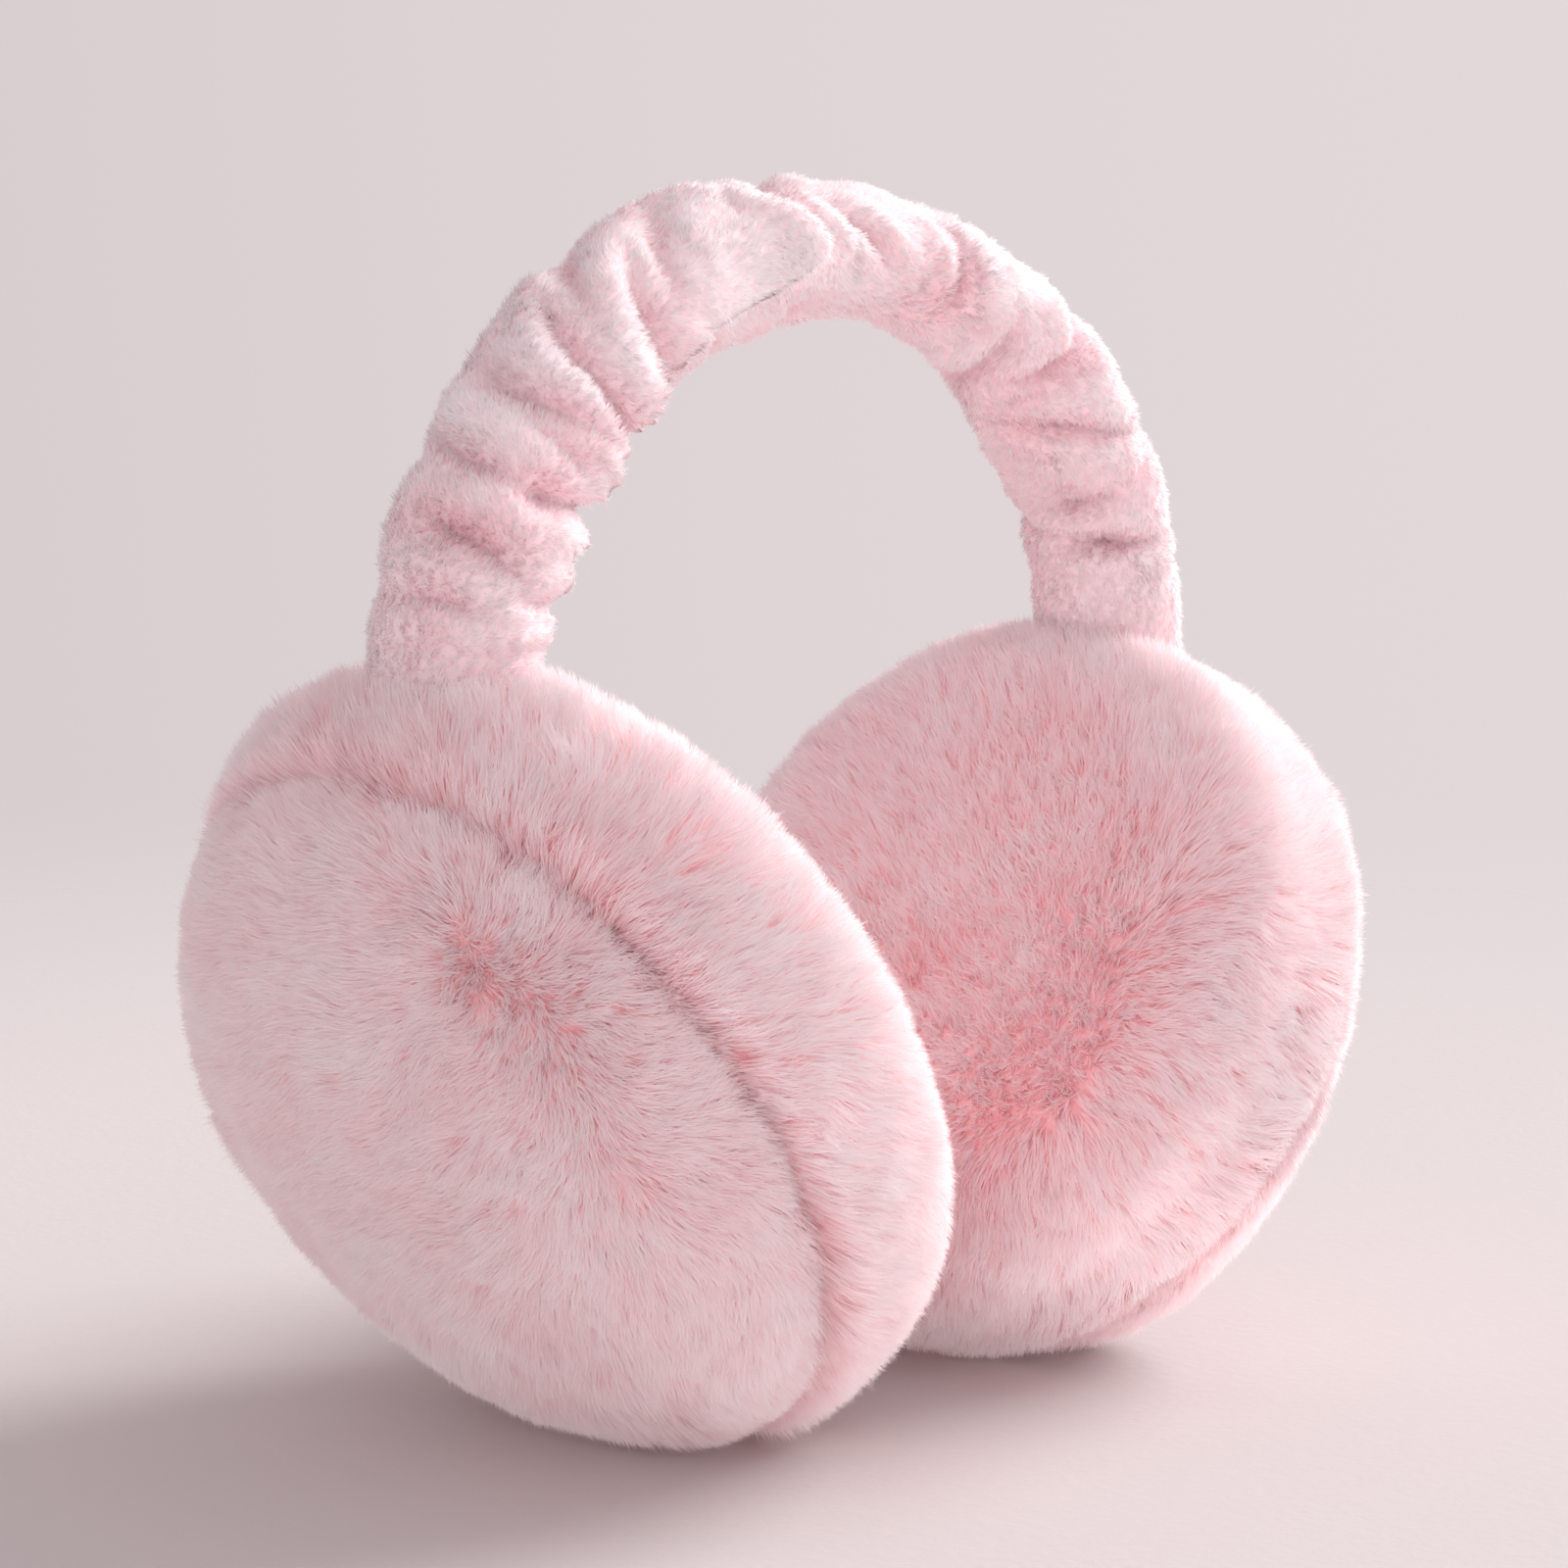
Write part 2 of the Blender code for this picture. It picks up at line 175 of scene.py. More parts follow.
# Form of the fur
SECTION_STEPS = 160
SKIN_RADIUS_SHARE = 0.945  # the backing skin's radius as a share of the fur's
SKIN_HEIGHT_SHARE = {"dome": 0.915, "pad": 0.950}
SKIN_RINGS = 26
SKIN_SECTORS = 64
CLUMPS = 14500  # in each half
STRANDS_PER_CLUMP = 12
CLUMP_SPREAD = 0.00062  # how far a clump's roots scatter
STRAND_REACH = 0.0037  # how far a strand lies over along the surface
FACE_REACH = 0.0021  # the same on the short fur of the ear face
STRAND_WIDTH = 0.00027
REACH_SCATTER = 0.25
CLUMP_PULL = 0.32  # how far tips are drawn together
FACE_PULL = 0.5  # the same on the ear face, as a share of it
FUR_SWAY = ((0.30, 0.010, 1), (0.28, 0.0028, 4))  # turn in radians, size, step of the seed
CLUMP_SWAY = 0.22
FACE_SWAY = 0.55  # how much more the ear face's clumps turn about
STRAND_SWAY = 0.30
STRAND_TWIST = 0.45
TIP_LIFT = 0.0004
TIP_SCATTER = 0.0003
UNEVEN_FUR = (0.00032, 0.0036, 2)  # height, size, step of the seed
UNEVEN_CLUMPS = 0.00030
CALM_FUR = (0.35, 0.020, 6)  # how the unevenness changes over the half
GAPS = (0.0011, 0.0018, 3)  # depth, size and step of the seed of small gaps between locks
GAPS_FROM = 1.15  # noise above which a gap opens
PIT_SHADE_DEPTH = 0.0016  # depth at which the painted shade in a gap or pit is deepest pink
GUARD_SHARE = 0.03  # share of the strands that stand out past the others
GUARD_LIFT = 0.0011
SEAM_FILL = {  # how far the fur fills the groove along the seam
    ("left", "dome"): 0.0023,
    ("left", "pad"): 0.0026,
    ("right", "dome"): 0.0014,
    ("right", "pad"): 0.0008,
}
SEAM_FILL_WIDTH = 0.0040
SEAM_FILL_CHANGE = (0.42, 0.008, 5)  # share, size, step of the seed
SEAM_PAINTED_SHADE = 0.50  # painted shade: how much pinker the fur is painted in the groove along the seam
SEAM_PAINTED_SHADE_WIDTH = 0.0035
RUFFLE = {  # how uneven the fur is
    ("left", "dome"): 0.85,
    ("left", "pad"): 1.0,
    ("right", "dome"): 0.7,
    ("right", "pad"): 0.6,
}
TONES = 64  # steps of tone in a piece's palette
BACKING = -1.0  # place along a strand that stands for the backing, which lets no light through
FUR_TONE = 0.60  # 0 the deepest pink, 1 the palest
FUR_BLOTCHES = ((0.07, 0.012, 71), (0.09, 0.0035, 72))  # strength, size, seed
CLUMP_TONE = 0.09
STRAND_TONE = 0.10
PIT_PAINTED_SHADE = 0.35  # painted shade: how much pinker pits and gaps are painted, by their depth
FACE_PAINTED_SHADE = 0.06  # painted shade: how much pinker the ear face is painted, as it lies in shade
FACE_BLOTCHES = (0.12, 0.0042, 73)

# Directions that the fur lies in, in the cup's own frame: place in millimetres, then direction
# front, up, away, to front, to up, to away
DOME_FLOW = (
    (-4, 59, 8, -0.67, 0.37, -0.64),
    (13, 55, 12, -0.95, -0.08, 0.30),
    (-10, 51, 16, -0.87, -0.40, 0.30),
    (22, 43, 17, -0.94, -0.28, 0.21),
    (36, 46, 9, 0.78, -0.29, -0.55),
    (44, 41, 5, 0.54, -0.11, -0.83),
    (23, 56, 5, -0.19, 0.21, -0.96),
    (4, 34, 24, -0.82, -0.39, 0.41),
    (22, 30, 23, -0.77, -0.53, 0.35),
    (-21, 34, 22, -0.79, -0.57, 0.23),
    (40, 33, 15, -0.79, -0.38, 0.49),
    (40, 37, 14, -0.10, -0.95, 0.20),
    (48, 29, 11, 0.66, -0.03, -0.75),
    (47, 23, 15, -0.10, -0.98, 0.15),
    (55, 24, 7, 0.40, -0.10, -0.90),
    (51, 14, 15, 0.84, -0.23, -0.49),
    (57, 10, 9, 0.62, -0.06, -0.78),
    (39, 15, 22, -0.79, -0.57, 0.23),
    (44, -1, 20, -0.40, -0.77, 0.49),
    (25, 4, 27, -0.70, -0.65, 0.29),
    (5, 2, 29, -0.80, -0.60, 0.00),
    (24, -19, 26, -0.46, -0.86, 0.22),
    (46, -17, 18, -0.33, -0.94, 0.00),
    (55, -11, 11, -0.10, -0.98, -0.15),
    (-48, 12, 14, -0.60, -0.60, -0.50),
    (-42, 38, 10, -0.70, -0.10, -0.70),
    (-38, -30, 14, -0.30, -0.80, -0.50),
    (-10, -30, 24, -0.30, -0.90, 0.00),
    (5, -52, 12, 0.00, -0.80, -0.60),
    (35, -45, 10, 0.20, -0.80, -0.60),
)

# Directions on the inner halves' sides: degrees round, share along the rim, share to the seam
PAD_FLOW = {
    "left": (
        (0, -0.75, -0.60),
        (25, -0.60, -0.70),
        (40, -0.23, -0.95),
        (55, 0.07, -0.95),
        (76, 0.16, -0.95),
        (88, 0.36, -0.90),
        (105, 0.75, -0.60),
        (118, 0.65, -0.40),
        (130, 0.90, -0.30),
        (165, 0.50, -0.70),
        (200, 0.10, -0.90),
        (250, -0.30, -0.90),
        (300, -0.50, -0.80),
        (335, -0.80, -0.50),
    ),
    "right": (
        (0, -0.60, 0.40),
        (37, -0.70, 0.45),
        (50, -0.60, 0.60),
        (68, -0.45, 0.85),
        (84, 0.05, 0.98),
        (99, 0.16, 0.92),
        (115, 0.22, 0.91),
        (133, 0.40, 0.85),
        (150, 0.30, 0.85),
        (180, 0.10, 0.90),
        (220, -0.20, 0.90),
        (270, -0.30, 0.90),
        (320, -0.40, 0.70),
    ),
}
FACE_FLOW = (-0.44, 0.90, 0.0)  # on the ear faces: to front, to up, to away
FLOW_SPREAD = 0.0085
FLOW_LEAST = 0.55  # how far fur still lies over where directions meet, as a share of its reach
FACE_EDGE = 0.0455  # radius at which the ear face's short fur gives way to the rim's
FACE_BLEND = 0.0015
FACE_END = 0.6  # place past which no fur belongs to the ear face

# Pits where the fur parts: cup, half, front, up, away in millimetres, spread and depth in metres
PITS = (
    ("left", "dome", 32, 46, 11, 0.0035, 0.0007),
    ("left", "dome", 47, 11, 17, 0.0035, 0.0007),
    ("left", "pad", 59, -9, -1, 0.0030, 0.0010),
)

# Plush of the sleeve
SLEEVE_STATIONS = 300
SLEEVE_SECTORS = 96
GATHER_DEPTH = 1.35  # the cloth's creases are narrower than the solid's, and deeper
GATHER_CALM = 0.70  # depth of the gathers past GATHER_CALM_FROM, as a share of the others'
GATHER_CALM_FROM = 0.74
GATHER_WANDER = 0.009  # how far creases wander along the sleeve, as a share of its length
GATHER_TURN = 9.0  # how far they wander round it, in degrees
STUFFING = 0.00045  # uneven stuffing under the cloth
CLOTH_DEPTH = 0.0009  # how far the cloth lies under the plush's surface
NAP_CLUMPS = 19000
NAP_PER_CLUMP = 10
NAP_SPREAD = 0.50  # scatter of a clump's roots, in steps of the cloth's grid
NAP_PULL = 0.35
NAP_LENGTH = 0.0013
NAP_WIDTH = 0.00022
NAP_LEAN = (0.70, 1.10, 2.00)  # least, middle and most
NAP_SWAY = (0.8, 0.008, 911)  # turn in radians, size, seed
NAP_CLUMP_SWAY = 0.35
NAP_TILTS = (0.28, 0.0030, 912)
PLUSH_TONE = 0.52
PLUSH_BLOTCHES = ((0.10, 0.006, 81), (0.08, 0.0011, 913))  # strength, size, seed
PLUSH_SCATTER = 0.10  # how much the tone of clumps and of strands differs
FOLD_LIGHT_LIFT = 0.0016  # lift at which the painted highlight on fold ridges is palest, and depth at which the painted shade in creases is deepest pink
FOLD_HIGHLIGHT_AND_SHADE = 0.40
STEEP_SHADE_SLOPES = (0.0005, 0.0014)  # change of lift in a step of the grid at which the plush is painted pinker, as painted shade on steep walls of folds and under the fold's edge
STEEP_PAINTED_SHADE = 0.22
WRINKLES = 110
WRINKLE_DEPTH = 0.00075
WRINKLE_WIDTH = 0.0052  # share of the sleeve's length

# Camera and light
CAMERA_AZIMUTH = math.radians(-44.77)
CAMERA_ELEVATION = math.radians(7.443)
CAMERA_DISTANCE = 0.67185
CAMERA_TARGET = (-0.002857, 0.0, 0.09532)
LENS = 98.59
SENSOR = 36.0
FLOOR_RADIUS = 4.0
FLOOR_COLOUR = (207, 201, 201)
FLOOR_FADE = (0.20, 0.75)  # distances between which the floor gives way to the backdrop
LIGHTS = (  # name, direction it comes from, angle in degrees, strength, colour
    ("key", (0.80, -0.20, 0.56), 38, 3.10, (1.0, 0.985, 0.98)),
    ("front_fill", (-0.60, -0.75, 0.35), 75, 0.22, (1.0, 0.98, 0.98)),
)
CARDS = (  # name, place, direction it faces, size, glow, colour
    ("floor_card", (0.0, 0.0, 0.0004), (0.0, 0.0, 1.0), 0.70, 0.25, (1.0, 0.95, 0.94)),
    ("between_cups", (-0.018, 0.0, 0.0765), (0.869, 0.0, 0.495), 0.08, 0.24, (1.0, 0.96, 0.96)),
    ("low_front", (0.03, -0.09, 0.001), (0.0, 0.0, 1.0), 0.07, 0.85, (1.0, 0.97, 0.97)),
)
SKY_LEFT = (0.56, 0.52, 0.535)
SKY_MIDDLE = (0.745, 0.662, 0.675)
SKY_RIGHT = (0.80, 0.745, 0.755)
SKY_TURN = (0.70, -0.70, 0.10)  # direction in which the backdrop goes from left to right
SKY_REACH = 0.6


def srgb(red, green, blue):
    """Linear colour from 0-255 screen values."""
    values = np.array([red, green, blue]) / 255.0
    linear = np.where(values <= 0.04045, values / 12.92, ((values + 0.055) / 1.055) ** 2.4)
    return (*[float(value) for value in linear], 1.0)


def unit(vectors):
    return vectors / np.maximum(np.linalg.norm(vectors, axis=-1, keepdims=True), 1e-12)


def noise(points, size, seed, waves=28):
    """Smooth random values of about -1 to 1 that change over a distance of size."""
    rng = np.random.default_rng(seed)
    turns = rng.normal(size=(3, waves)) / size
    starts = rng.uniform(0, 2 * math.pi, waves)
    return np.cos(points @ turns + starts).sum(-1) * math.sqrt(2.0 / waves)


def turn_between(a, b):
    return (a - b + 180.0) % 360.0 - 180.0


def flattened(vectors, axes):
    """Vectors without their part along these unit axes."""
    return vectors - (vectors * axes).sum(-1, keepdims=True) * axes


# Cups


def evenly(line, count):
    steps = np.linalg.norm(np.diff(line, axis=0), axis=1)
    run = np.concatenate([[0.0], np.cumsum(steps)])
    wanted = np.linspace(0.0, run[-1], count)
    return np.stack([np.interp(wanted, run, line[:, 0]), np.interp(wanted, run, line[:, 1])], -1)


def dome_section():
    """(radius, height above the seam plane) from the dome's top to its seam."""
    seam = DOME_RADIUS - SEAM_INSET
    quarter = np.linspace(0.0, math.pi / 2, SECTION_STEPS)
    power = 2 / DOME_FULLNESS
    radius = DOME_RADIUS * np.sin(quarter) ** power
    height = (DOME_DEPTH + DOME_OFFSET) * np.maximum(np.cos(quarter), 0.0) ** power - DOME_OFFSET
    kept = height > SEAM_ROUND
    line = np.stack([radius[kept], height[kept]], -1)
    inset = line[-1, 0] - seam
    tuck = line[-1, 1] - SEAM_GAP / 2
    quarter = quarter[1:]
    round_edge = [seam + inset * np.cos(quarter), SEAM_GAP / 2 + tuck * (1 - np.sin(quarter))]
    return evenly(np.concatenate([line, np.stack(round_edge, -1)]), SECTION_STEPS)


def pad_section():
    """(radius, height below the seam plane) from the middle of the ear face to the seam."""
    seam = DOME_RADIUS - SEAM_INSET
    quarter = np.linspace(0.0, math.pi / 2, SECTION_STEPS)
    power = 2 / PAD_FULLNESS
    radius = PAD_RADIUS * np.sin(quarter) ** power
    crown = PAD_DEPTH - PAD_BULGE
    height = PAD_BULGE + crown * np.maximum(np.cos(quarter), 0.0) ** power
    inside = np.maximum(0.0, 1 - (radius / PAD_FACE_RADIUS) ** 2)
    height = height - PAD_DISH * (1 - (1 - inside) ** 2)
    line = np.stack([radius, height], -1)
    tuck = PAD_BULGE - SEAM_GAP / 2
    quarter = quarter[1:]
    round_edge = [seam + (PAD_RADIUS - seam) * np.cos(quarter), PAD_BULGE - tuck * np.sin(quarter)]
    return evenly(np.concatenate([line, np.stack(round_edge, -1)]), SECTION_STEPS)


class CupHalf:
    """The fur surface of one half of a cup, by place (0 middle, 1 seam) and angle round it."""

    def __init__(self, cup, half):
        side = CUP_SIDES[cup]
        self.cup = cup
        self.half = half
        self.section = dome_section() if half == "dome" else pad_section()
        self.skin_height = SKIN_HEIGHT_SHARE[half]
        slope = np.gradient(self.section, axis=0)
        self.normals = unit(np.stack([-slope[:, 1], slope[:, 0]], -1))
        self.places = np.linspace(0.0, 1.0, SECTION_STEPS)
        self.length = float(np.linalg.norm(np.diff(self.section, axis=0), axis=1).sum())
        self.away = np.array([side * math.cos(CUP_TILT), 0.0, -math.sin(CUP_TILT)])
        self.up = np.array([side * math.sin(CUP_TILT), 0.0, math.cos(CUP_TILT)])
        self.front = np.array([0.0, -1.0, 0.0])
        dome = dome_section()
        lowest = (dome[:, 0] * math.cos(CUP_TILT) + dome[:, 1] * math.sin(CUP_TILT)).max()
        self.centre = np.array([side * CUP_SPREAD, 0.0, lowest - SETTLE])
        self.outward = self.away if half == "dome" else -self.away
        self.sag = self.up * (PAD_SAG if half == "pad" else 0.0)

    def bulge(self, place, around):
        total = np.zeros_like(place)
        degrees = np.degrees(around)
        for cup, half, at, at_place, spread, place_spread, height in BULGES:
            if (cup, half) == (self.cup, self.half):
                turn = turn_between(degrees, at) / spread
                off = (place - at_place) / place_spread
                total += height * DOME_RADIUS * np.exp(-(turn**2) - off**2)
        return total * np.minimum(1.0, (1.0 - place) * SEAM_FADE)

    def surface(self, place, around, radius_share=1.0, height_share=1.0):
        """Points on the surface, their normals and their distances from the cup's axis."""
        normal_radius = np.interp(place, self.places, self.normals[:, 0])
        normal_height = np.interp(place, self.places, self.normals[:, 1])
        lift = self.bulge(place, around)
        radius = np.interp(place, self.places, self.section[:, 0]) + normal_radius * lift
        height = np.interp(place, self.places, self.section[:, 1]) + normal_height * lift
        radius = radius * radius_share
        height = height * height_share
        ray = np.cos(around)[:, None] * self.up + np.sin(around)[:, None] * self.front
        points = self.centre - self.sag + height[:, None] * self.outward + radius[:, None] * ray
        points[:, 2] = np.maximum(points[:, 2], 0.0002)
        normals = normal_height[:, None] * self.outward + normal_radius[:, None] * ray
        return points, unit(normals), radius

    def local(self, points):
        """(front, up, away) of points, from the middle of the seam plane."""
        offset = points - self.centre
        return np.stack([offset @ self.front, offset @ self.up, offset @ self.away], -1)

    def places_of(self, points):
        """Place and angle of the surface points nearest to these points."""
        offset = points - self.centre + self.sag
        height = offset @ self.outward
        front, up = offset @ self.front, offset @ self.up
        radius = np.hypot(front, up)
        gaps = (radius[:, None] - self.section[None, ::2, 0]) ** 2
        gaps += (height[:, None] - self.section[None, ::2, 1]) ** 2
        return self.places[::2][gaps.argmin(1)], np.arctan2(front, up)

    def spread(self, count, rng):
        """Places and angles of count points spread evenly over the half."""
        area = np.concatenate([[0.0], np.cumsum(self.section[1:, 0] + self.section[:-1, 0])])
        share = (np.arange(count) + rng.uniform(0, 1, count)) / count
        place = np.interp(share, area / area[-1], self.places)
        golden = math.pi * (3 - math.sqrt(5))
        around = np.arange(count) * golden + rng.normal(0, 0.02, count)
        return place, around % (2 * math.pi)

    def flow_rows(self):
        """Rows of (local place, direction) for this half, in metres."""
        if self.half == "dome":
            rows = np.array(DOME_FLOW, float)
            return rows[:, :3] / 1000.0, rows[:, 3:]
        table = np.array(PAD_FLOW[self.cup], float)
        places, directions = [], []
        sides = [0.62, 0.74, 0.86, 0.97]
        for around, along, to_seam in table:
            turn = math.radians(around)
            ray = np.array([math.sin(turn), math.cos(turn), 0.0])
            tangent = np.array([math.cos(turn), -math.sin(turn), 0.0])
            for place in sides:
                radius = np.interp(place, self.places, self.section[:, 0])
                height = np.interp(place, self.places, self.section[:, 1])
                places.append(ray * radius + np.array([0.0, 0.0, -height]))
                directions.append(tangent * along + np.array([0, 0, to_seam]) + ray * 0.35)
        for radius in (0.0, 0.022, 0.038):
            for turn in np.linspace(0, 2 * math.pi, 7)[:-1]:
                places.append(
                    np.array([radius * math.sin(turn), radius * math.cos(turn), -PAD_DEPTH])
                )
                directions.append(np.array(FACE_FLOW))
        return np.array(places), np.array(directions)

    def flow(self, points, normals):
        """Unit directions along the surface that the fur lies in."""
        places, directions = self.flow_rows()
        where = self.local(points)
        total = np.zeros_like(points)
        weights = np.zeros(len(points))
        for place, direction in zip(places, directions):
            gap = ((where - place) ** 2).sum(-1) / (2 * FLOW_SPREAD**2)
            weight = np.exp(-gap) + 1e-5 / (1.0 + gap)
            total += weight[:, None] * direction
            weights += weight
        total /= weights[:, None]
        flow = total[:, :1] * self.front + total[:, 1:2] * self.up + total[:, 2:] * self.away
        flow = flattened(flow, normals)
        strength = np.clip(np.linalg.norm(flow, axis=-1) / 0.6, FLOW_LEAST, 1.0)
        return unit(flow), strength


def rotated(vectors, axes, angles):
    """Vectors turned about axes at right angles to them."""
    return vectors * np.cos(angles)[:, None] + np.cross(axes, vectors) * np.sin(angles)[:, None]


def sleeve_frame(turn):
    """Centre line point and outward direction of the sleeve at a turn from its top."""
    outward = unit(
        np.stack(
            [np.sin(turn) / BAND_HALF_WIDTH, np.zeros_like(turn), np.cos(turn) / BAND_RISE], -1
        )
    )
    centre = np.stack(
        [
            BAND_SHIFT + BAND_HALF_WIDTH * np.sin(turn),
            np.zeros_like(turn),
            BAND_HEIGHT + BAND_RISE * np.cos(turn),
        ],
        -1,
    )
    return centre, outward


def fullness(along):
    table = np.array(SLEEVE_FULLNESS)
    return np.interp(along, table[:, 0], table[:, 1]), np.interp(along, table[:, 0], table[:, 2])


def in_sleeve(points, grow):
    """Which points lie inside the sleeve, grown by this much."""
    turn = np.arctan2(
        (points[:, 0] - BAND_SHIFT) / BAND_HALF_WIDTH, (points[:, 2] - BAND_HEIGHT) / BAND_RISE
    )
    turn = np.clip(turn, -BAND_SWEEP, BAND_SWEEP)
    centre, outward = sleeve_frame(turn)
    offset = points - centre
    thick, broad = fullness((turn / BAND_SWEEP + 1) / 2)
    out = (offset * outward).sum(-1)
    rest = np.linalg.norm(offset - out[:, None] * outward, axis=-1)
    share = (out / (SLEEVE_HALF_THICKNESS * thick + grow)) ** 2
    share += (rest / (SLEEVE_HALF_BREADTH * broad + grow)) ** 2
    return share < 1.0


def fur_tone(where, clump_noise, strand_noise, parted, on_face):
    """Tone of each strand, 0 the deepest pink and 1 the palest, with painted shade in pits, gaps and on
    the ear face.
    """
    tone = FUR_TONE
    for strength, size, seed in FUR_BLOTCHES:
        tone = tone + strength * noise(where, size, seed)
    # Pits and gaps are painted pinker by their depth, as painted shade.
    tone = tone + CLUMP_TONE * clump_noise + STRAND_TONE * strand_noise - PIT_PAINTED_SHADE * parted
    # The ear face is painted pinker as painted shade, with blotches of differing tone.
    strength, size, seed = FACE_BLOTCHES
    return tone - on_face * (FACE_PAINTED_SHADE - strength * noise(where, size, seed))


def face_share(form, place, radius):
    """How far the fur belongs to the ear face, from 0 to 1."""
    if form.half == "dome":
        return np.zeros(len(place))
    return 1.0 / (1.0 + np.exp((radius - FACE_EDGE) / FACE_BLEND)) * (place < FACE_END)


def pit_depth(form, points):
    """How deep the fur is parted at each point."""
    where = form.local(points)
    depth = np.zeros(len(points))
    for cup, half, front, up, away, spread, deepest in PITS:
        if (cup, half) == (form.cup, form.half):
            gap = ((where - np.array([front, up, away]) / 1000.0) ** 2).sum(-1)
            depth += deepest * np.exp(-gap / spread**2)
    return depth


def gap_depth(form, points, seed, on_face):
    """Small gaps between locks, as noise past GAPS_FROM."""
    _, size, step = GAPS
    gaps = np.maximum(0.0, noise(points, size, seed + step) - GAPS_FROM)
    return gaps * (1 - on_face) * RUFFLE[form.cup, form.half]


def fur_lift(form, points, place, seed, sunk, rng):
    """How far the clumps' tips stand off the surface."""
    height, size, step = UNEVEN_FUR
    uneven = height * noise(points, size, seed + step) + UNEVEN_CLUMPS * rng.normal(size=CLUMPS)
    change, size, step = CALM_FUR
    calm = (0.75 + change * noise(points, size, seed + step)).clip(0.4, 1.3)
    uneven *= RUFFLE[form.cup, form.half] * calm
    share, size, step = SEAM_FILL_CHANGE
    fill = SEAM_FILL[form.cup, form.half]
    fill = fill * (1 + share * noise(points, size, seed + step)).clip(0.2, 1.9)
    from_seam = (1.0 - place) * form.length
    return TIP_LIFT + uneven - sunk + fill * np.exp(-((from_seam / SEAM_FILL_WIDTH) ** 2))


def fur_clumps(form, seed, rng):
    """The clumps that the strands gather in: arrays by name."""
    place, around = form.spread(CLUMPS, rng)
    points, normals, radius = form.surface(place, around)
    flow, strength = form.flow(points, normals)
    on_face = face_share(form, place, radius)
    sway = rng.normal(0, 1, CLUMPS) * (CLUMP_SWAY + FACE_SWAY * on_face)
    for turn, size, step in FUR_SWAY:
        sway += turn * noise(points, size, seed + step)
    flow = rotated(flow, normals, sway)
    reach = STRAND_REACH + (FACE_REACH - STRAND_REACH) * on_face
    reach = reach * strength * (1 + REACH_SCATTER * rng.normal(size=CLUMPS)).clip(0.4, 1.8)
    pit = pit_depth(form, points)
    gaps = gap_depth(form, points, seed, on_face)
    lift = fur_lift(form, points, place, seed, pit + GAPS[0] * gaps, rng)
    tip_place, tip_around = form.places_of(points + flow * reach[:, None])
    tip, tip_normal, _ = form.surface(np.minimum(tip_place, 0.985), tip_around)
    from_seam = (1.0 - place) * form.length
    return {
        "place": place,
        "around": around,
        "radius": radius,
        "flow": flow,
        "reach": reach,
        "lift": lift,
        "tip": tip + tip_normal * lift[:, None],
        "on_face": on_face,
        # painted shade: share of the deepest pink painted into pits and gaps
        "parted": (pit + 0.001 * gaps) / PIT_SHADE_DEPTH,
        # painted shade: the fur in the groove along the seam is painted pinker
        "groove_shade": SEAM_PAINTED_SHADE * np.exp(-((from_seam / SEAM_PAINTED_SHADE_WIDTH) ** 2)),
        "noise": rng.normal(size=CLUMPS),
    }


def fur_strands(form, clumps, rng):
    """Every clump's strands, apart from those that the sleeve would cut."""
    of = np.repeat(np.arange(CLUMPS), STRANDS_PER_CLUMP)
    clump = {key: values[of] for key, values in clumps.items()}
    count = len(of)
    place = clump["place"] + rng.normal(0, CLUMP_SPREAD, count) / form.length
    place = np.clip(place, 0.002, 0.996)
    turn = rng.normal(0, CLUMP_SPREAD, count) / np.maximum(clump["radius"], 0.0015)
    around = clump["around"] + turn
    outer, normal, _ = form.surface(place, around)
    root, _, _ = form.surface(place, around, SKIN_RADIUS_SHARE, form.skin_height)
    flow = unit(flattened(clump["flow"], normal))
    direction = rotated(flow, normal, rng.normal(0, STRAND_SWAY, count))
    length = clump["reach"] * (1 + 0.20 * rng.normal(size=count)).clip(0.3, 1.8)
    tip_place, tip_around = form.places_of(outer + direction * length[:, None])
    tip, tip_normal, _ = form.surface(np.minimum(tip_place, 0.99), tip_around)
    tip += tip_normal * (clump["lift"] + TIP_SCATTER * rng.normal(size=count))[:, None]
    pull = CLUMP_PULL * (1.0 - (1.0 - FACE_PULL) * clump["on_face"])
    tip += (clump["tip"] - tip) * pull[:, None]
    guard = (rng.uniform(size=count) < GUARD_SHARE) * rng.uniform(0.3, 1.0, count)
    tip += tip_normal * (GUARD_LIFT * guard)[:, None]
    tip[:, 2] = np.maximum(tip[:, 2], 0.0003)
    if form.half == "pad":
        keep = ~(in_sleeve(root, 0.0005) | in_sleeve(tip, -0.0004))
        root, tip, normal = root[keep], tip[keep], normal[keep]
        clump = {key: values[keep] for key, values in clump.items()}
    count = len(root)
    lay = unit(tip - root)
    side = unit(np.cross(lay, normal) + STRAND_TWIST * rng.normal(size=(count, 1)) * normal)
    side = unit(flattened(side, lay))
    width = STRAND_WIDTH * (1 + 0.25 * rng.uniform(-1, 1, count))
    across = unit(flattened(normal, lay))
    shade = unit(0.60 * normal + 0.40 * across + 0.08 * rng.normal(size=(count, 3)))
    single = rng.normal(size=count)
    tone = fur_tone(root, clump["noise"], single, clump["parted"], clump["on_face"])
    # The groove's painted shade is taken off the tone here.
    return strands(root, tip, side, width, normal, shade, tone - clump["groove_shade"])


def fur_half(cup, half, seed, material):
    """One half's backing skin and its strands, in one mesh."""
    form = CupHalf(cup, half)
    rng = np.random.default_rng(seed)
    pieces = [fur_strands(form, fur_clumps(form, seed, rng), rng), skin(form)]
    return joined_mesh(f"{cup}_{half}_fur_strands", pieces, material)


def stepped(tone):
    """Tones in the palette's steps, from 0 to 1."""
    return (np.floor(np.clip(tone, 0.0, 0.999) * TONES) + 0.5) / TONES


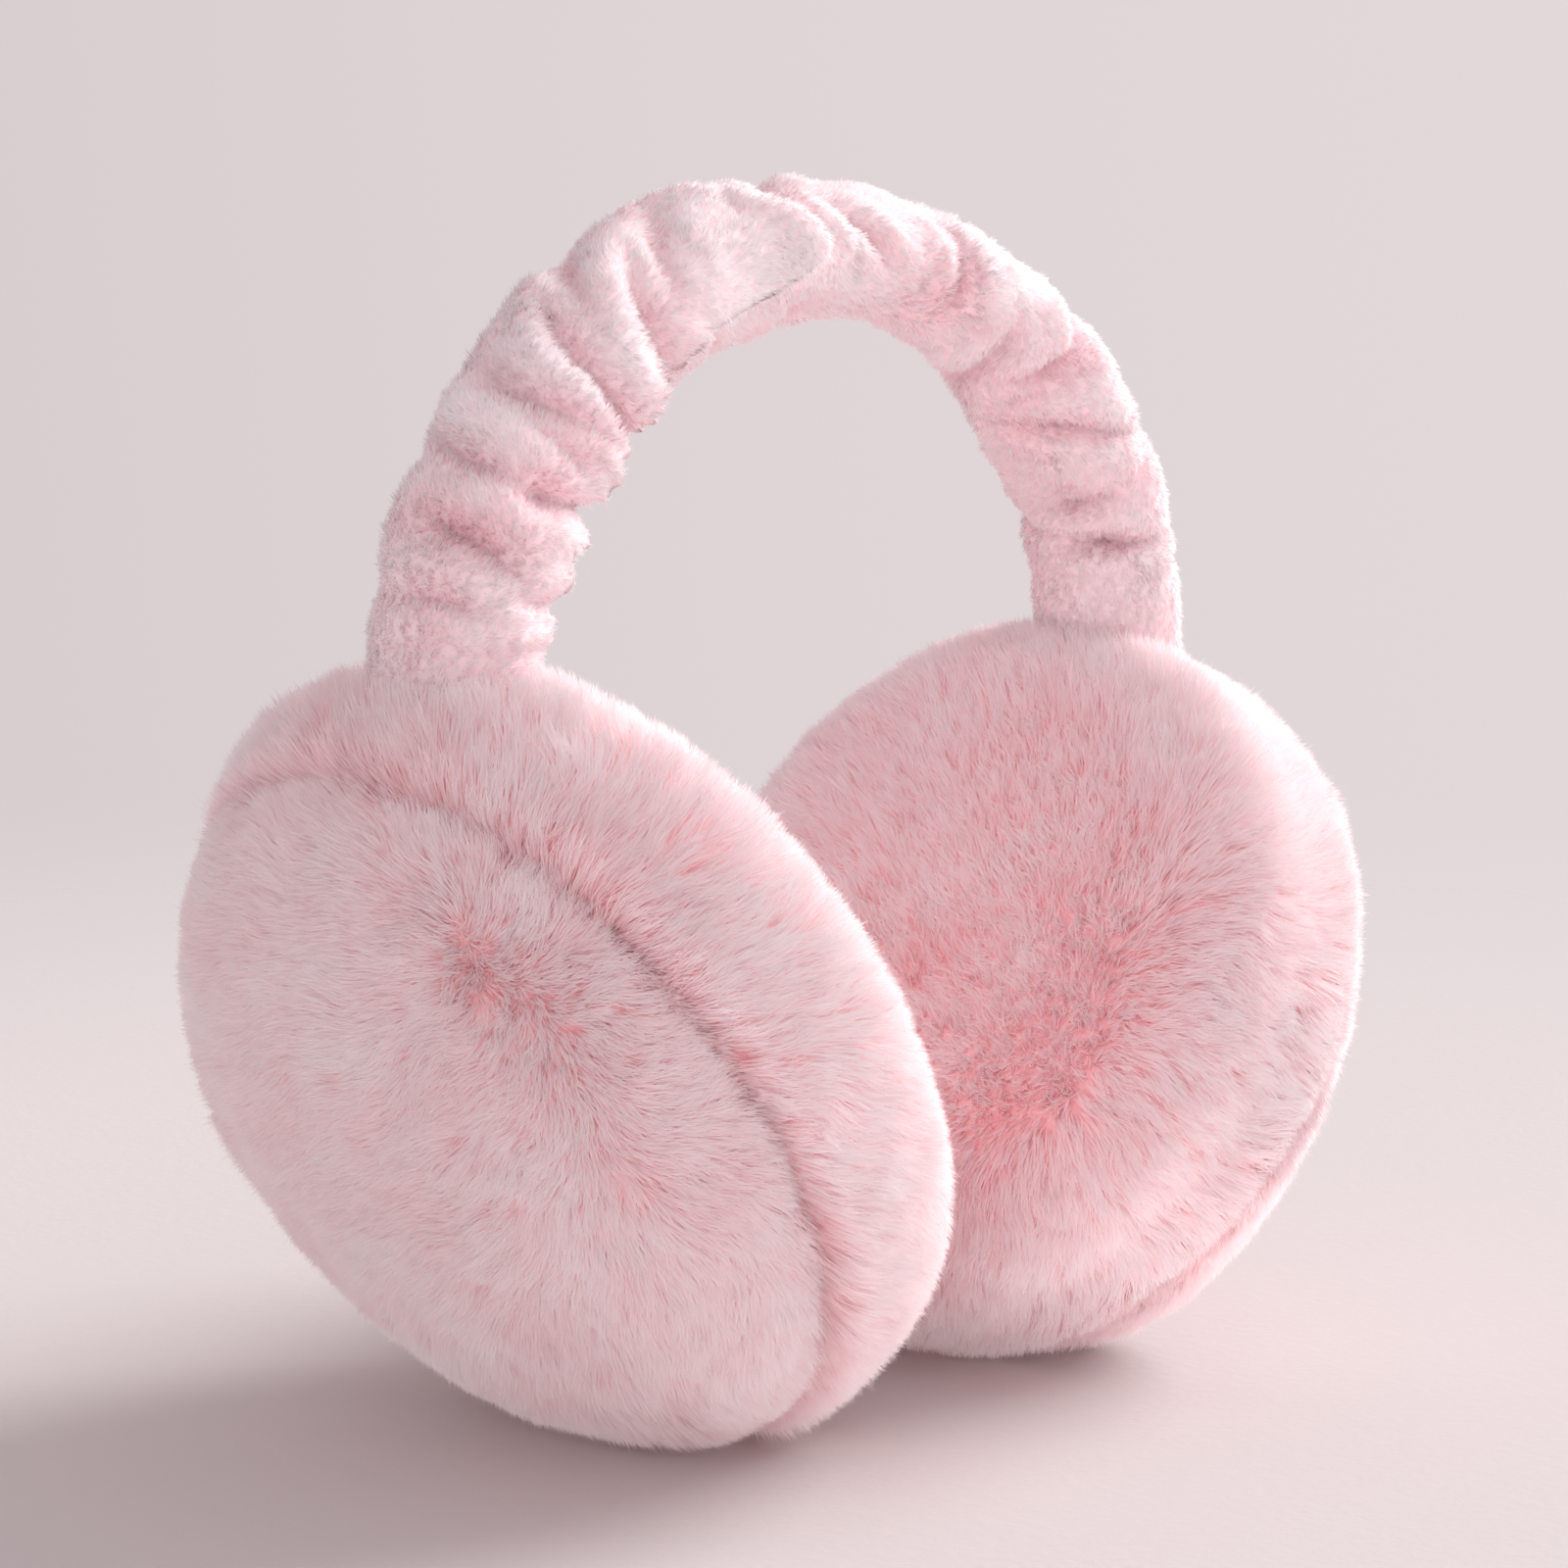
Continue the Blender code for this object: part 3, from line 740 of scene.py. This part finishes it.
def strands(root, tip, side, width, normal, shade, tone):
    """Narrow triangles from root to tip, wide at the root, that face away from the skin."""
    count = len(root)
    facing = (np.cross(side, tip - root) * normal).sum(-1)
    side = side * np.where(facing < 0, -1.0, 1.0)[:, None]
    tone = stepped(tone)
    half = side * width[:, None] / 2
    corners = np.stack([root - half, root + half, tip], 1)
    return {
        "points": corners.reshape(-1, 3),
        "faces": np.arange(count * 3).reshape(-1, 3),
        "normals": np.repeat(shade, 3, axis=0),
        "tone": np.repeat(tone, 3),
        "along": np.tile(np.array([0.0, 0.0, 1.0]), count),
        "u": np.repeat(tone, 3) + np.tile(np.array([-0.3, 0.3, 0.0]), count) / TONES,
    }


def closed_tube(points, normals, sectors):
    """Triangles that join rings of points up and close them with the last two points."""
    first, last = len(points) - 2, len(points) - 1
    row = np.arange(0, first - sectors, sectors)[:, None]
    column = np.arange(sectors)
    after = (column + 1) % sectors
    a, b = row + column, row + after
    c, d = a + sectors, b + sectors
    top = first - sectors
    fans = [after, column, np.full(sectors, first)], [top + column, top + after, np.full(sectors, last)]
    faces = [np.stack(corners, -1).reshape(-1, 3) for corners in ([a, b, d], [a, d, c], *fans)]
    faces = np.concatenate(faces)
    start, middle, end = (points[faces[:, corner]] for corner in range(3))
    facing = np.cross(middle - start, end - start) * normals[faces[:, 0]]
    return faces if facing.sum() > 0 else faces[:, ::-1]


def skin(form):
    """The closed backing that the strands stand on."""
    place = np.repeat(np.linspace(0.0, 1.0, SKIN_RINGS)[1:], SKIN_SECTORS)
    around = np.linspace(0.0, 2 * math.pi, SKIN_SECTORS, endpoint=False)
    around = np.tile(around, SKIN_RINGS - 1)
    shares = SKIN_RADIUS_SHARE, form.skin_height
    rings, normals, _ = form.surface(place, around, *shares)
    pole, pole_normal, _ = form.surface(np.zeros(1), np.zeros(1), *shares)
    points = np.concatenate([rings, pole, rings[-SKIN_SECTORS:].mean(0)[None]])
    normals = np.concatenate([normals, pole_normal, -pole_normal])
    count = len(points)
    return {
        "points": points,
        "faces": closed_tube(points, normals, SKIN_SECTORS),
        "normals": normals,
        "tone": np.full(count, 0.5 / TONES),
        "along": np.full(count, BACKING),
        "u": np.linspace(0.1, 0.9, count) / TONES,
    }


def joined_mesh(name, pieces, material):
    """A mesh from arrays, with its shading normals and the attributes that colour it."""
    counts = [len(piece["points"]) for piece in pieces]
    starts = np.concatenate([[0], np.cumsum(counts)[:-1]])
    points = np.concatenate([piece["points"] for piece in pieces])
    faces = np.concatenate([piece["faces"] + start for piece, start in zip(pieces, starts)])
    mesh = bpy.data.meshes.new(name)
    mesh.vertices.add(len(points))
    mesh.vertices.foreach_set("co", points.astype(np.float32).ravel())
    mesh.loops.add(faces.size)
    mesh.loops.foreach_set("vertex_index", faces.astype(np.int32).ravel())
    mesh.polygons.add(len(faces))
    mesh.polygons.foreach_set("loop_start", np.arange(0, faces.size, 3, dtype=np.int32))
    mesh.polygons.foreach_set("use_smooth", np.ones(len(faces), bool))
    mesh.update(calc_edges=True)
    values = {key: np.concatenate([piece[key] for piece in pieces]) for key in ("tone", "along", "u")}
    for key in ("tone", "along"):
        attribute = mesh.attributes.new(key, "FLOAT", "POINT")
        attribute.data.foreach_set("value", values[key].astype(np.float32))
    layout = mesh.uv_layers.new(name="OFBake")
    height = 0.02 + 0.96 * np.maximum(values["along"], 0.0)
    palette = np.stack([values["u"], height], -1)[faces.ravel()]
    layout.uv.foreach_set("vector", palette.astype(np.float32).ravel())
    normals = unit(np.concatenate([piece["normals"] for piece in pieces]))
    mesh.normals_split_custom_set_from_vertices(normals.tolist())
    mesh.materials.append(material)
    made = bpy.data.objects.new(name, mesh)
    bpy.context.scene.collection.objects.link(made)
    return made


# Sleeve


def wrinkle_rows(rng):
    """Small creases: along, around, reach, depth, width, slant."""
    spans = (0.04, 0.96), (0, 360), (22, 60), (0.4, 1.0), (0.7, 1.4), (-0.035, 0.035)
    least, most = zip(*spans)
    sizes = np.array([1, 1, 1, WRINKLE_DEPTH, WRINKLE_WIDTH, 1])
    return rng.uniform(least, most, (WRINKLES, len(spans))) * sizes


def creased(along, degrees, rows, narrow):
    total = np.zeros_like(along)
    for at, around, reach, depth, width, slant in rows:
        turn = turn_between(degrees, around)
        off = np.abs(along - at - slant * turn / 90.0) / width
        hold = np.where(np.abs(turn) < reach, np.cos(np.pi / 2 * turn / reach), 0.0)
        crease = -np.exp(-((off / narrow) ** 1.3)) + 0.30 * np.exp(-((off - 1.6) ** 2))
        total += depth * hold * crease
    return total


def lip_lift(along, degrees):
    """The overlapped fold: it rises slowly to a rolled edge, then drops."""
    turn = turn_between(degrees, math.degrees(LIP_SIDE)) / 90.0
    sweep = np.where(turn > 0, LIP_SWEEP_HEAD, LIP_SWEEP_TOP)
    past = along - (LIP_PLACE - sweep * turn**2)
    over = np.exp(-(np.abs(turn / LIP_REACH) ** LIP_FADE))
    rising = LIP_RISE * np.exp(np.minimum(past, 0) / LIP_RUN)
    rising += LIP_BEAD * np.exp(-(((past + LIP_BEAD_PLACE) / LIP_BEAD_PLACE) ** 2))
    dip = -LIP_UNDERCUT * LIP_RISE * np.exp(-np.maximum(past, 0) / LIP_DROP)
    share = np.clip(past / LIP_STEP, 0.0, 1.0)
    return over * (rising * (1 - share) + dip * share)


def pocket_lift(along, degrees):
    total = np.zeros_like(along)
    for at, around, spread, spread_around, depth in POCKETS:
        turn = turn_between(degrees, around) / spread_around
        off = (along - at) / spread
        total -= depth * SLEEVE_HALF_THICKNESS * np.exp(-(off**2) - turn**2)
    return total


def gathers():
    """The gathers as deep as the cloth has them."""
    rows = []
    for at, around, reach, depth, width, slant in GATHERS:
        calm = GATHER_CALM if at > GATHER_CALM_FROM else 1.0
        deep = depth * SLEEVE_HALF_THICKNESS * GATHER_DEPTH * calm
        rows.append((at, around, reach, deep, width, slant))
    return rows


def sleeve_point(centre, outward, angle, thick, broad, lift):
    across = np.cos(angle) * (SLEEVE_HALF_THICKNESS * thick + lift)
    ahead = np.sin(angle) * (SLEEVE_HALF_BREADTH * broad + lift)
    front = np.array([0.0, -1.0, 0.0])
    return centre + outward * across[..., None] + front * ahead[..., None]


def sleeve_points(along, angle, grow, wrinkles):
    """Points on the cloth, and how far folds lift each of them."""
    centre, outward = sleeve_frame(BAND_SWEEP * (2 * along - 1))
    thick, broad = fullness(along)
    base = sleeve_point(centre, outward, angle, thick, broad, 0.0)
    wandered = along + GATHER_WANDER * noise(base, 0.012, 921)
    degrees = np.degrees(angle) + GATHER_TURN * noise(base, 0.016, 922)
    lift = lip_lift(along + 0.3 * (wandered - along), degrees) + pocket_lift(along, degrees)
    lift += creased(wandered, degrees, gathers(), 0.60)
    lift += creased(wandered, degrees, wrinkles, 0.80)
    lift += STUFFING * noise(base, 0.0065, 923)
    length = BAND_SWEEP * (BAND_HALF_WIDTH + BAND_RISE)
    from_end = np.minimum(along, 1 - along) * length
    lift = lift * np.clip(from_end / NECK_LENGTH - 1.0, 0.0, 1.0)
    return sleeve_point(centre, outward, angle, thick, broad, lift + grow), lift


def sleeve_grid(wrinkles):
    """Grids of the cloth's points, normals, directions along it and lifts."""
    along = np.linspace(0.0, 1.0, SLEEVE_STATIONS)
    angle = np.linspace(0.0, 2 * math.pi, SLEEVE_SECTORS, endpoint=False)
    along_grid, angle_grid = np.meshgrid(along, angle, indexing="ij")
    points, lift = sleeve_points(along_grid, angle_grid, -CLOTH_DEPTH, wrinkles)
    run = np.gradient(points, axis=0)
    turn = np.roll(points, -1, axis=1) - np.roll(points, 1, axis=1)
    normals = unit(np.cross(turn, run))
    centre, _ = sleeve_frame(BAND_SWEEP * (2 * along_grid - 1))
    outward = ((points - centre) * normals).sum(-1).mean()
    return points, normals * np.sign(outward), unit(run), lift[..., None]


def sleeve_spread(points, count, rng):
    """Rows and columns of count places spread evenly over the cloth."""
    runs = points[1:] - points[:-1]
    turns = np.roll(points, -1, axis=1) - points
    area = np.linalg.norm(np.cross(runs, turns[:-1]), axis=-1).ravel()
    covered = np.cumsum(area)
    wanted = (np.arange(count) + rng.uniform(0, 1, count)) / count * covered[-1]
    cell = np.minimum(np.searchsorted(covered, wanted), area.size - 1)
    row, column = np.divmod(cell, points.shape[1])
    return row + rng.uniform(0, 1, count), column + rng.uniform(0, 1, count)


def between(grid, row, column):
    """Values of a grid, closed round its second axis, at fractional rows and columns."""
    low_row = np.clip(np.floor(row).astype(int), 0, grid.shape[0] - 2)
    low_column = np.floor(column).astype(int) % grid.shape[1]
    next_column = (low_column + 1) % grid.shape[1]
    part_row = (row - low_row)[:, None]
    part_column = (column - np.floor(column))[:, None]
    low = grid[low_row, low_column] * (1 - part_column) + grid[low_row, next_column] * part_column
    high = grid[low_row + 1, low_column] * (1 - part_column)
    high += grid[low_row + 1, next_column] * part_column
    return low * (1 - part_row) + high * part_row


def sleeve_cloth(points, normals, material):
    ends = points[[0, -1]].mean(1)
    end_normals = unit(ends - points[[1, -2]].mean(1))
    flat = np.concatenate([points.reshape(-1, 3), ends])
    flat_normals = np.concatenate([normals.reshape(-1, 3), end_normals])
    tone = stepped(0.5 + 0.2 * noise(flat, 0.006, 81))
    piece = {
        "points": flat,
        "faces": closed_tube(flat, flat_normals, points.shape[1]),
        "normals": flat_normals,
        "tone": tone,
        "along": np.full(len(flat), BACKING),
        "u": tone,
    }
    return joined_mesh("headband_sleeve_cloth", [piece], material)


def sleeve_nap(points, normals, runs, lifts, material):
    """The short plush: clumps of strands that lean along the cloth."""
    rng = np.random.default_rng(901)
    row, column = sleeve_spread(points, NAP_CLUMPS, rng)
    place = between(points, row, column)
    normal = unit(between(normals, row, column))
    run = unit(between(runs, row, column))
    run = unit(flattened(run, normal))
    turn, size, seed = NAP_SWAY
    sway = turn * noise(place, size, seed) + rng.normal(0, NAP_CLUMP_SWAY, NAP_CLUMPS)
    lean = rotated(run, normal, sway)
    least, middle, most = NAP_LEAN
    change, size, seed = NAP_TILTS
    tilt = middle + change * noise(place, size, seed) + 0.16 * rng.normal(size=NAP_CLUMPS)
    length = NAP_LENGTH * (1 + 0.22 * rng.normal(size=NAP_CLUMPS))
    clump_tip = place + unit(normal + lean * tilt[:, None]) * length[:, None]
    clump_tone = PLUSH_SCATTER * rng.normal(size=NAP_CLUMPS)

    of = np.repeat(np.arange(NAP_CLUMPS), NAP_PER_CLUMP)
    count = len(of)
    s_row = np.clip(row[of] + rng.normal(0, NAP_SPREAD, count), 0, points.shape[0] - 1.001)
    s_column = (column[of] + rng.normal(0, NAP_SPREAD, count)) % points.shape[1]
    root = between(points, s_row, s_column)
    normal = unit(between(normals, s_row, s_column))
    lean = rotated(lean[of], normal, rng.normal(0, NAP_CLUMP_SWAY, count))
    tilt = np.clip(tilt[of] + 0.18 * rng.normal(size=count), least, most)
    lay = unit(normal + lean * tilt[:, None])
    tip = root + lay * (length[of] * (1 + 0.15 * rng.normal(size=count)))[:, None]
    tip += (clump_tip[of] - tip) * NAP_PULL
    lay = unit(tip - root)
    side = unit(np.cross(lay, normal + 0.3 * rng.normal(size=(count, 3))))
    width = NAP_WIDTH * (1 + 0.2 * rng.uniform(-1, 1, count))
    across = unit(flattened(normal, lay))
    shade = unit(0.6 * normal + 0.4 * across + 0.10 * rng.normal(size=(count, 3)))
    # Fold ridges are painted paler as painted highlight, creases pinker as painted shade.
    fold_light = np.clip(between(lifts, s_row, s_column)[:, 0] / FOLD_LIGHT_LIFT, -1.0, 1.0)
    # Steep walls of folds, such as under the fold's edge, are painted pinker as painted shade.
    slope = np.hypot(*np.gradient(lifts[:, :, 0]))[:, :, None]
    steep_shade = between(slope, s_row, s_column)[:, 0]
    steep_shade = np.clip((steep_shade - STEEP_SHADE_SLOPES[0]) / (STEEP_SHADE_SLOPES[1] - STEEP_SHADE_SLOPES[0]), 0.0, 1.0)
    tone = PLUSH_TONE + clump_tone[of] + PLUSH_SCATTER * rng.normal(size=count)
    for strength, size, seed in PLUSH_BLOTCHES:
        tone += strength * noise(root, size, seed)
    tone += FOLD_HIGHLIGHT_AND_SHADE * fold_light - STEEP_PAINTED_SHADE * steep_shade
    piece = strands(root, tip, side, width, normal, shade, tone)
    return joined_mesh("headband_sleeve_nap", [piece], material)


# Materials


def attribute(nodes, name):
    made = nodes.new("ShaderNodeAttribute")
    made.attribute_name = name
    return made.outputs["Fac"]


def ramp(nodes, links, along, stops):
    """Colours from root to tip, as 0-255 screen values."""
    made = nodes.new("ShaderNodeValToRGB")
    links.new(along, made.inputs["Fac"])
    elements = made.color_ramp.elements
    while len(elements) < len(stops):
        elements.new(0.5)
    for element, (position, colour) in zip(elements, stops):
        element.position = position
        element.color = srgb(*colour)
    return made.outputs["Color"]


def passed_light(nodes, links, along, through):
    """Share of light let through, so that a strand shades alike from both sides; 0 on a backing."""
    side = nodes.new("ShaderNodeNewGeometry")
    share = nodes.new("ShaderNodeMapRange")
    share.inputs["To Min"].default_value = through
    share.inputs["To Max"].default_value = 1.0 - through
    links.new(side.outputs["Backfacing"], share.inputs["Value"])
    strand = nodes.new("ShaderNodeMath")
    strand.operation = "GREATER_THAN"
    strand.inputs[1].default_value = BACKING / 2
    links.new(along, strand.inputs[0])
    passed = nodes.new("ShaderNodeMath")
    passed.operation = "MULTIPLY"
    links.new(share.outputs["Result"], passed.inputs[0])
    links.new(strand.outputs["Value"], passed.inputs[1])
    return passed.outputs["Value"]


def pile_material(name, low, high, sheen, sheen_tint, through):
    """Fur or plush: two ramps from root to tip, mixed by the strand's tone."""
    material = bpy.data.materials.new(name)
    material.use_nodes = True
    nodes, links = material.node_tree.nodes, material.node_tree.links
    shader = nodes["Principled BSDF"]
    shader.inputs["Roughness"].default_value = 0.85
    shader.inputs["Specular IOR Level"].default_value = 0.15
    shader.inputs["Sheen Weight"].default_value = sheen
    shader.inputs["Sheen Roughness"].default_value = 0.45
    shader.inputs["Sheen Tint"].default_value = sheen_tint
    along = attribute(nodes, "along")
    mix = nodes.new("ShaderNodeMix")
    mix.data_type = "RGBA"
    links.new(attribute(nodes, "tone"), mix.inputs[0])
    links.new(ramp(nodes, links, along, low), mix.inputs[6])
    links.new(ramp(nodes, links, along, high), mix.inputs[7])
    links.new(mix.outputs[2], shader.inputs["Base Color"])
    thin = nodes.new("ShaderNodeBsdfTranslucent")
    links.new(mix.outputs[2], thin.inputs["Color"])
    both = nodes.new("ShaderNodeMixShader")
    links.new(passed_light(nodes, links, along, through), both.inputs["Fac"])
    links.new(shader.outputs["BSDF"], both.inputs[1])
    links.new(thin.outputs["BSDF"], both.inputs[2])
    links.new(both.outputs["Shader"], nodes["Material Output"].inputs["Surface"])
    return material


def fur_material():
    low = ((0.0, (254, 202, 206)), (0.45, (255, 226, 229)), (1.0, (255, 240, 242)))
    high = ((0.0, (255, 226, 229)), (0.45, (255, 243, 245)), (1.0, (255, 252, 253)))
    return pile_material("long_fur_strands", low, high, 0.20, (1.0, 0.93, 0.94, 1.0), 0.26)


def plush_material():
    low = ((0.0, (255, 220, 225)), (0.5, (255, 237, 240)), (1.0, (255, 246, 249)))
    high = ((0.0, (255, 243, 246)), (0.5, (255, 251, 252)), (1.0, (255, 253, 254)))
    return pile_material("plush_sleeve_nap", low, high, 0.25, (1.0, 0.94, 0.95, 1.0), 0.26)


def floor_material():
    material = bpy.data.materials.new("pale_floor")
    material.use_nodes = True
    nodes, links = material.node_tree.nodes, material.node_tree.links
    shader = nodes["Principled BSDF"]
    shader.inputs["Roughness"].default_value = 0.75
    shader.inputs["Specular IOR Level"].default_value = 0.2
    place = nodes.new("ShaderNodeTexCoord")
    far = nodes.new("ShaderNodeVectorMath")
    far.operation = "LENGTH"
    links.new(place.outputs["Object"], far.inputs[0])
    fade = nodes.new("ShaderNodeMapRange")
    fade.interpolation_type = "SMOOTHSTEP"
    fade.inputs["From Min"].default_value = FLOOR_FADE[0]
    fade.inputs["From Max"].default_value = FLOOR_FADE[1]
    links.new(far.outputs["Value"], fade.inputs["Value"])
    shader.inputs["Base Color"].default_value = srgb(*FLOOR_COLOUR)
    away = nodes.new("ShaderNodeBsdfTransparent")
    both = nodes.new("ShaderNodeMixShader")
    links.new(fade.outputs["Result"], both.inputs["Fac"])
    links.new(shader.outputs["BSDF"], both.inputs[1])
    links.new(away.outputs["BSDF"], both.inputs[2])
    links.new(both.outputs["Shader"], nodes["Material Output"].inputs["Surface"])
    grain = nodes.new("ShaderNodeTexNoise")
    grain.inputs["Scale"].default_value = 420.0
    links.new(place.outputs["Object"], grain.inputs["Vector"])
    bump = nodes.new("ShaderNodeBump")
    bump.inputs["Strength"].default_value = 0.10
    bump.inputs["Distance"].default_value = 0.001
    links.new(grain.outputs["Fac"], bump.inputs["Height"])
    links.new(bump.outputs["Normal"], shader.inputs["Normal"])
    return material


# Stage


def floor():
    bpy.ops.mesh.primitive_circle_add(vertices=96, radius=FLOOR_RADIUS, fill_type="NGON")
    made = bpy.context.object
    made.name = "floor"
    made.data.materials.append(floor_material())
    return made


def world():
    made = bpy.data.worlds.new("studio")
    made.use_nodes = True
    nodes, links = made.node_tree.nodes, made.node_tree.links
    place = nodes.new("ShaderNodeTexCoord")
    split = nodes.new("ShaderNodeVectorMath")
    split.operation = "DOT_PRODUCT"
    split.inputs[1].default_value = SKY_TURN
    links.new(place.outputs["Generated"], split.inputs[0])
    ramp = nodes.new("ShaderNodeValToRGB")
    spread = nodes.new("ShaderNodeMapRange")
    spread.inputs["From Min"].default_value = -SKY_REACH
    spread.inputs["From Max"].default_value = SKY_REACH
    links.new(split.outputs["Value"], spread.inputs["Value"])
    links.new(spread.outputs["Result"], ramp.inputs["Fac"])
    ramp.color_ramp.elements[0].color = (*SKY_LEFT, 1.0)
    ramp.color_ramp.elements[1].color = (*SKY_RIGHT, 1.0)
    ramp.color_ramp.elements.new(0.5).color = (*SKY_MIDDLE, 1.0)
    links.new(ramp.outputs["Color"], nodes["Background"].inputs["Color"])
    nodes["Background"].inputs["Strength"].default_value = 1.0
    bpy.context.scene.world = made


def lights():
    for name, source, angle, strength, colour in LIGHTS:
        lamp = bpy.data.lights.new(name, "SUN")
        lamp.angle = math.radians(angle)
        lamp.energy = strength
        lamp.color = colour
        made = bpy.data.objects.new(name, lamp)
        made.rotation_euler = Vector(source).to_track_quat("Z", "Y").to_euler()
        bpy.context.scene.collection.objects.link(made)
    for name, place, facing, size, glow, colour in CARDS:
        card = bpy.data.lights.new(name, "AREA")
        card.size = size
        card.energy = math.pi * glow * size**2
        card.color = colour
        made = bpy.data.objects.new(name, card)
        made.location = place
        made.rotation_euler = Vector(facing).to_track_quat("-Z", "Y").to_euler()
        made.visible_camera = False
        bpy.context.scene.collection.objects.link(made)


def camera():
    turn, rise = CAMERA_AZIMUTH, CAMERA_ELEVATION
    flat = math.cos(rise)
    back = Vector((math.sin(turn) * flat, -math.cos(turn) * flat, math.sin(rise)))
    right = Vector((0, 0, 1)).cross(back).normalized()
    up = back.cross(right)
    place = Vector(CAMERA_TARGET) + back * CAMERA_DISTANCE
    lens = bpy.data.cameras.new("camera")
    lens.sensor_width = SENSOR
    lens.lens = LENS
    lens.clip_start = 0.01
    made = bpy.data.objects.new("camera", lens)
    rows = [(*axes, at) for axes, at in zip(zip(right, up, back), place)]
    made.matrix_world = Matrix([*rows, (0.0, 0.0, 0.0, 1.0)])
    bpy.context.scene.collection.objects.link(made)
    bpy.context.scene.camera = made


def main():
    bpy.context.scene.view_settings.view_transform = "Standard"
    camera()
    lights()
    world()
    floor()
    fur = fur_material()
    seeds = {("left", "dome"): 11, ("left", "pad"): 23, ("right", "dome"): 37, ("right", "pad"): 53}
    for (cup, half), seed in seeds.items():
        piece = fur_half(cup, half, seed, fur)
        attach(piece, "root")
        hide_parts(f"{cup}_{half}_fur")
    plush = plush_material()
    points, normals, runs, lifts = sleeve_grid(wrinkle_rows(np.random.default_rng(5)))
    cloth = sleeve_cloth(points, normals, plush)
    nap = sleeve_nap(points, normals, runs, lifts, plush)
    for piece in (cloth, nap):
        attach(piece, "root")
    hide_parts("headband_sleeve")


main()
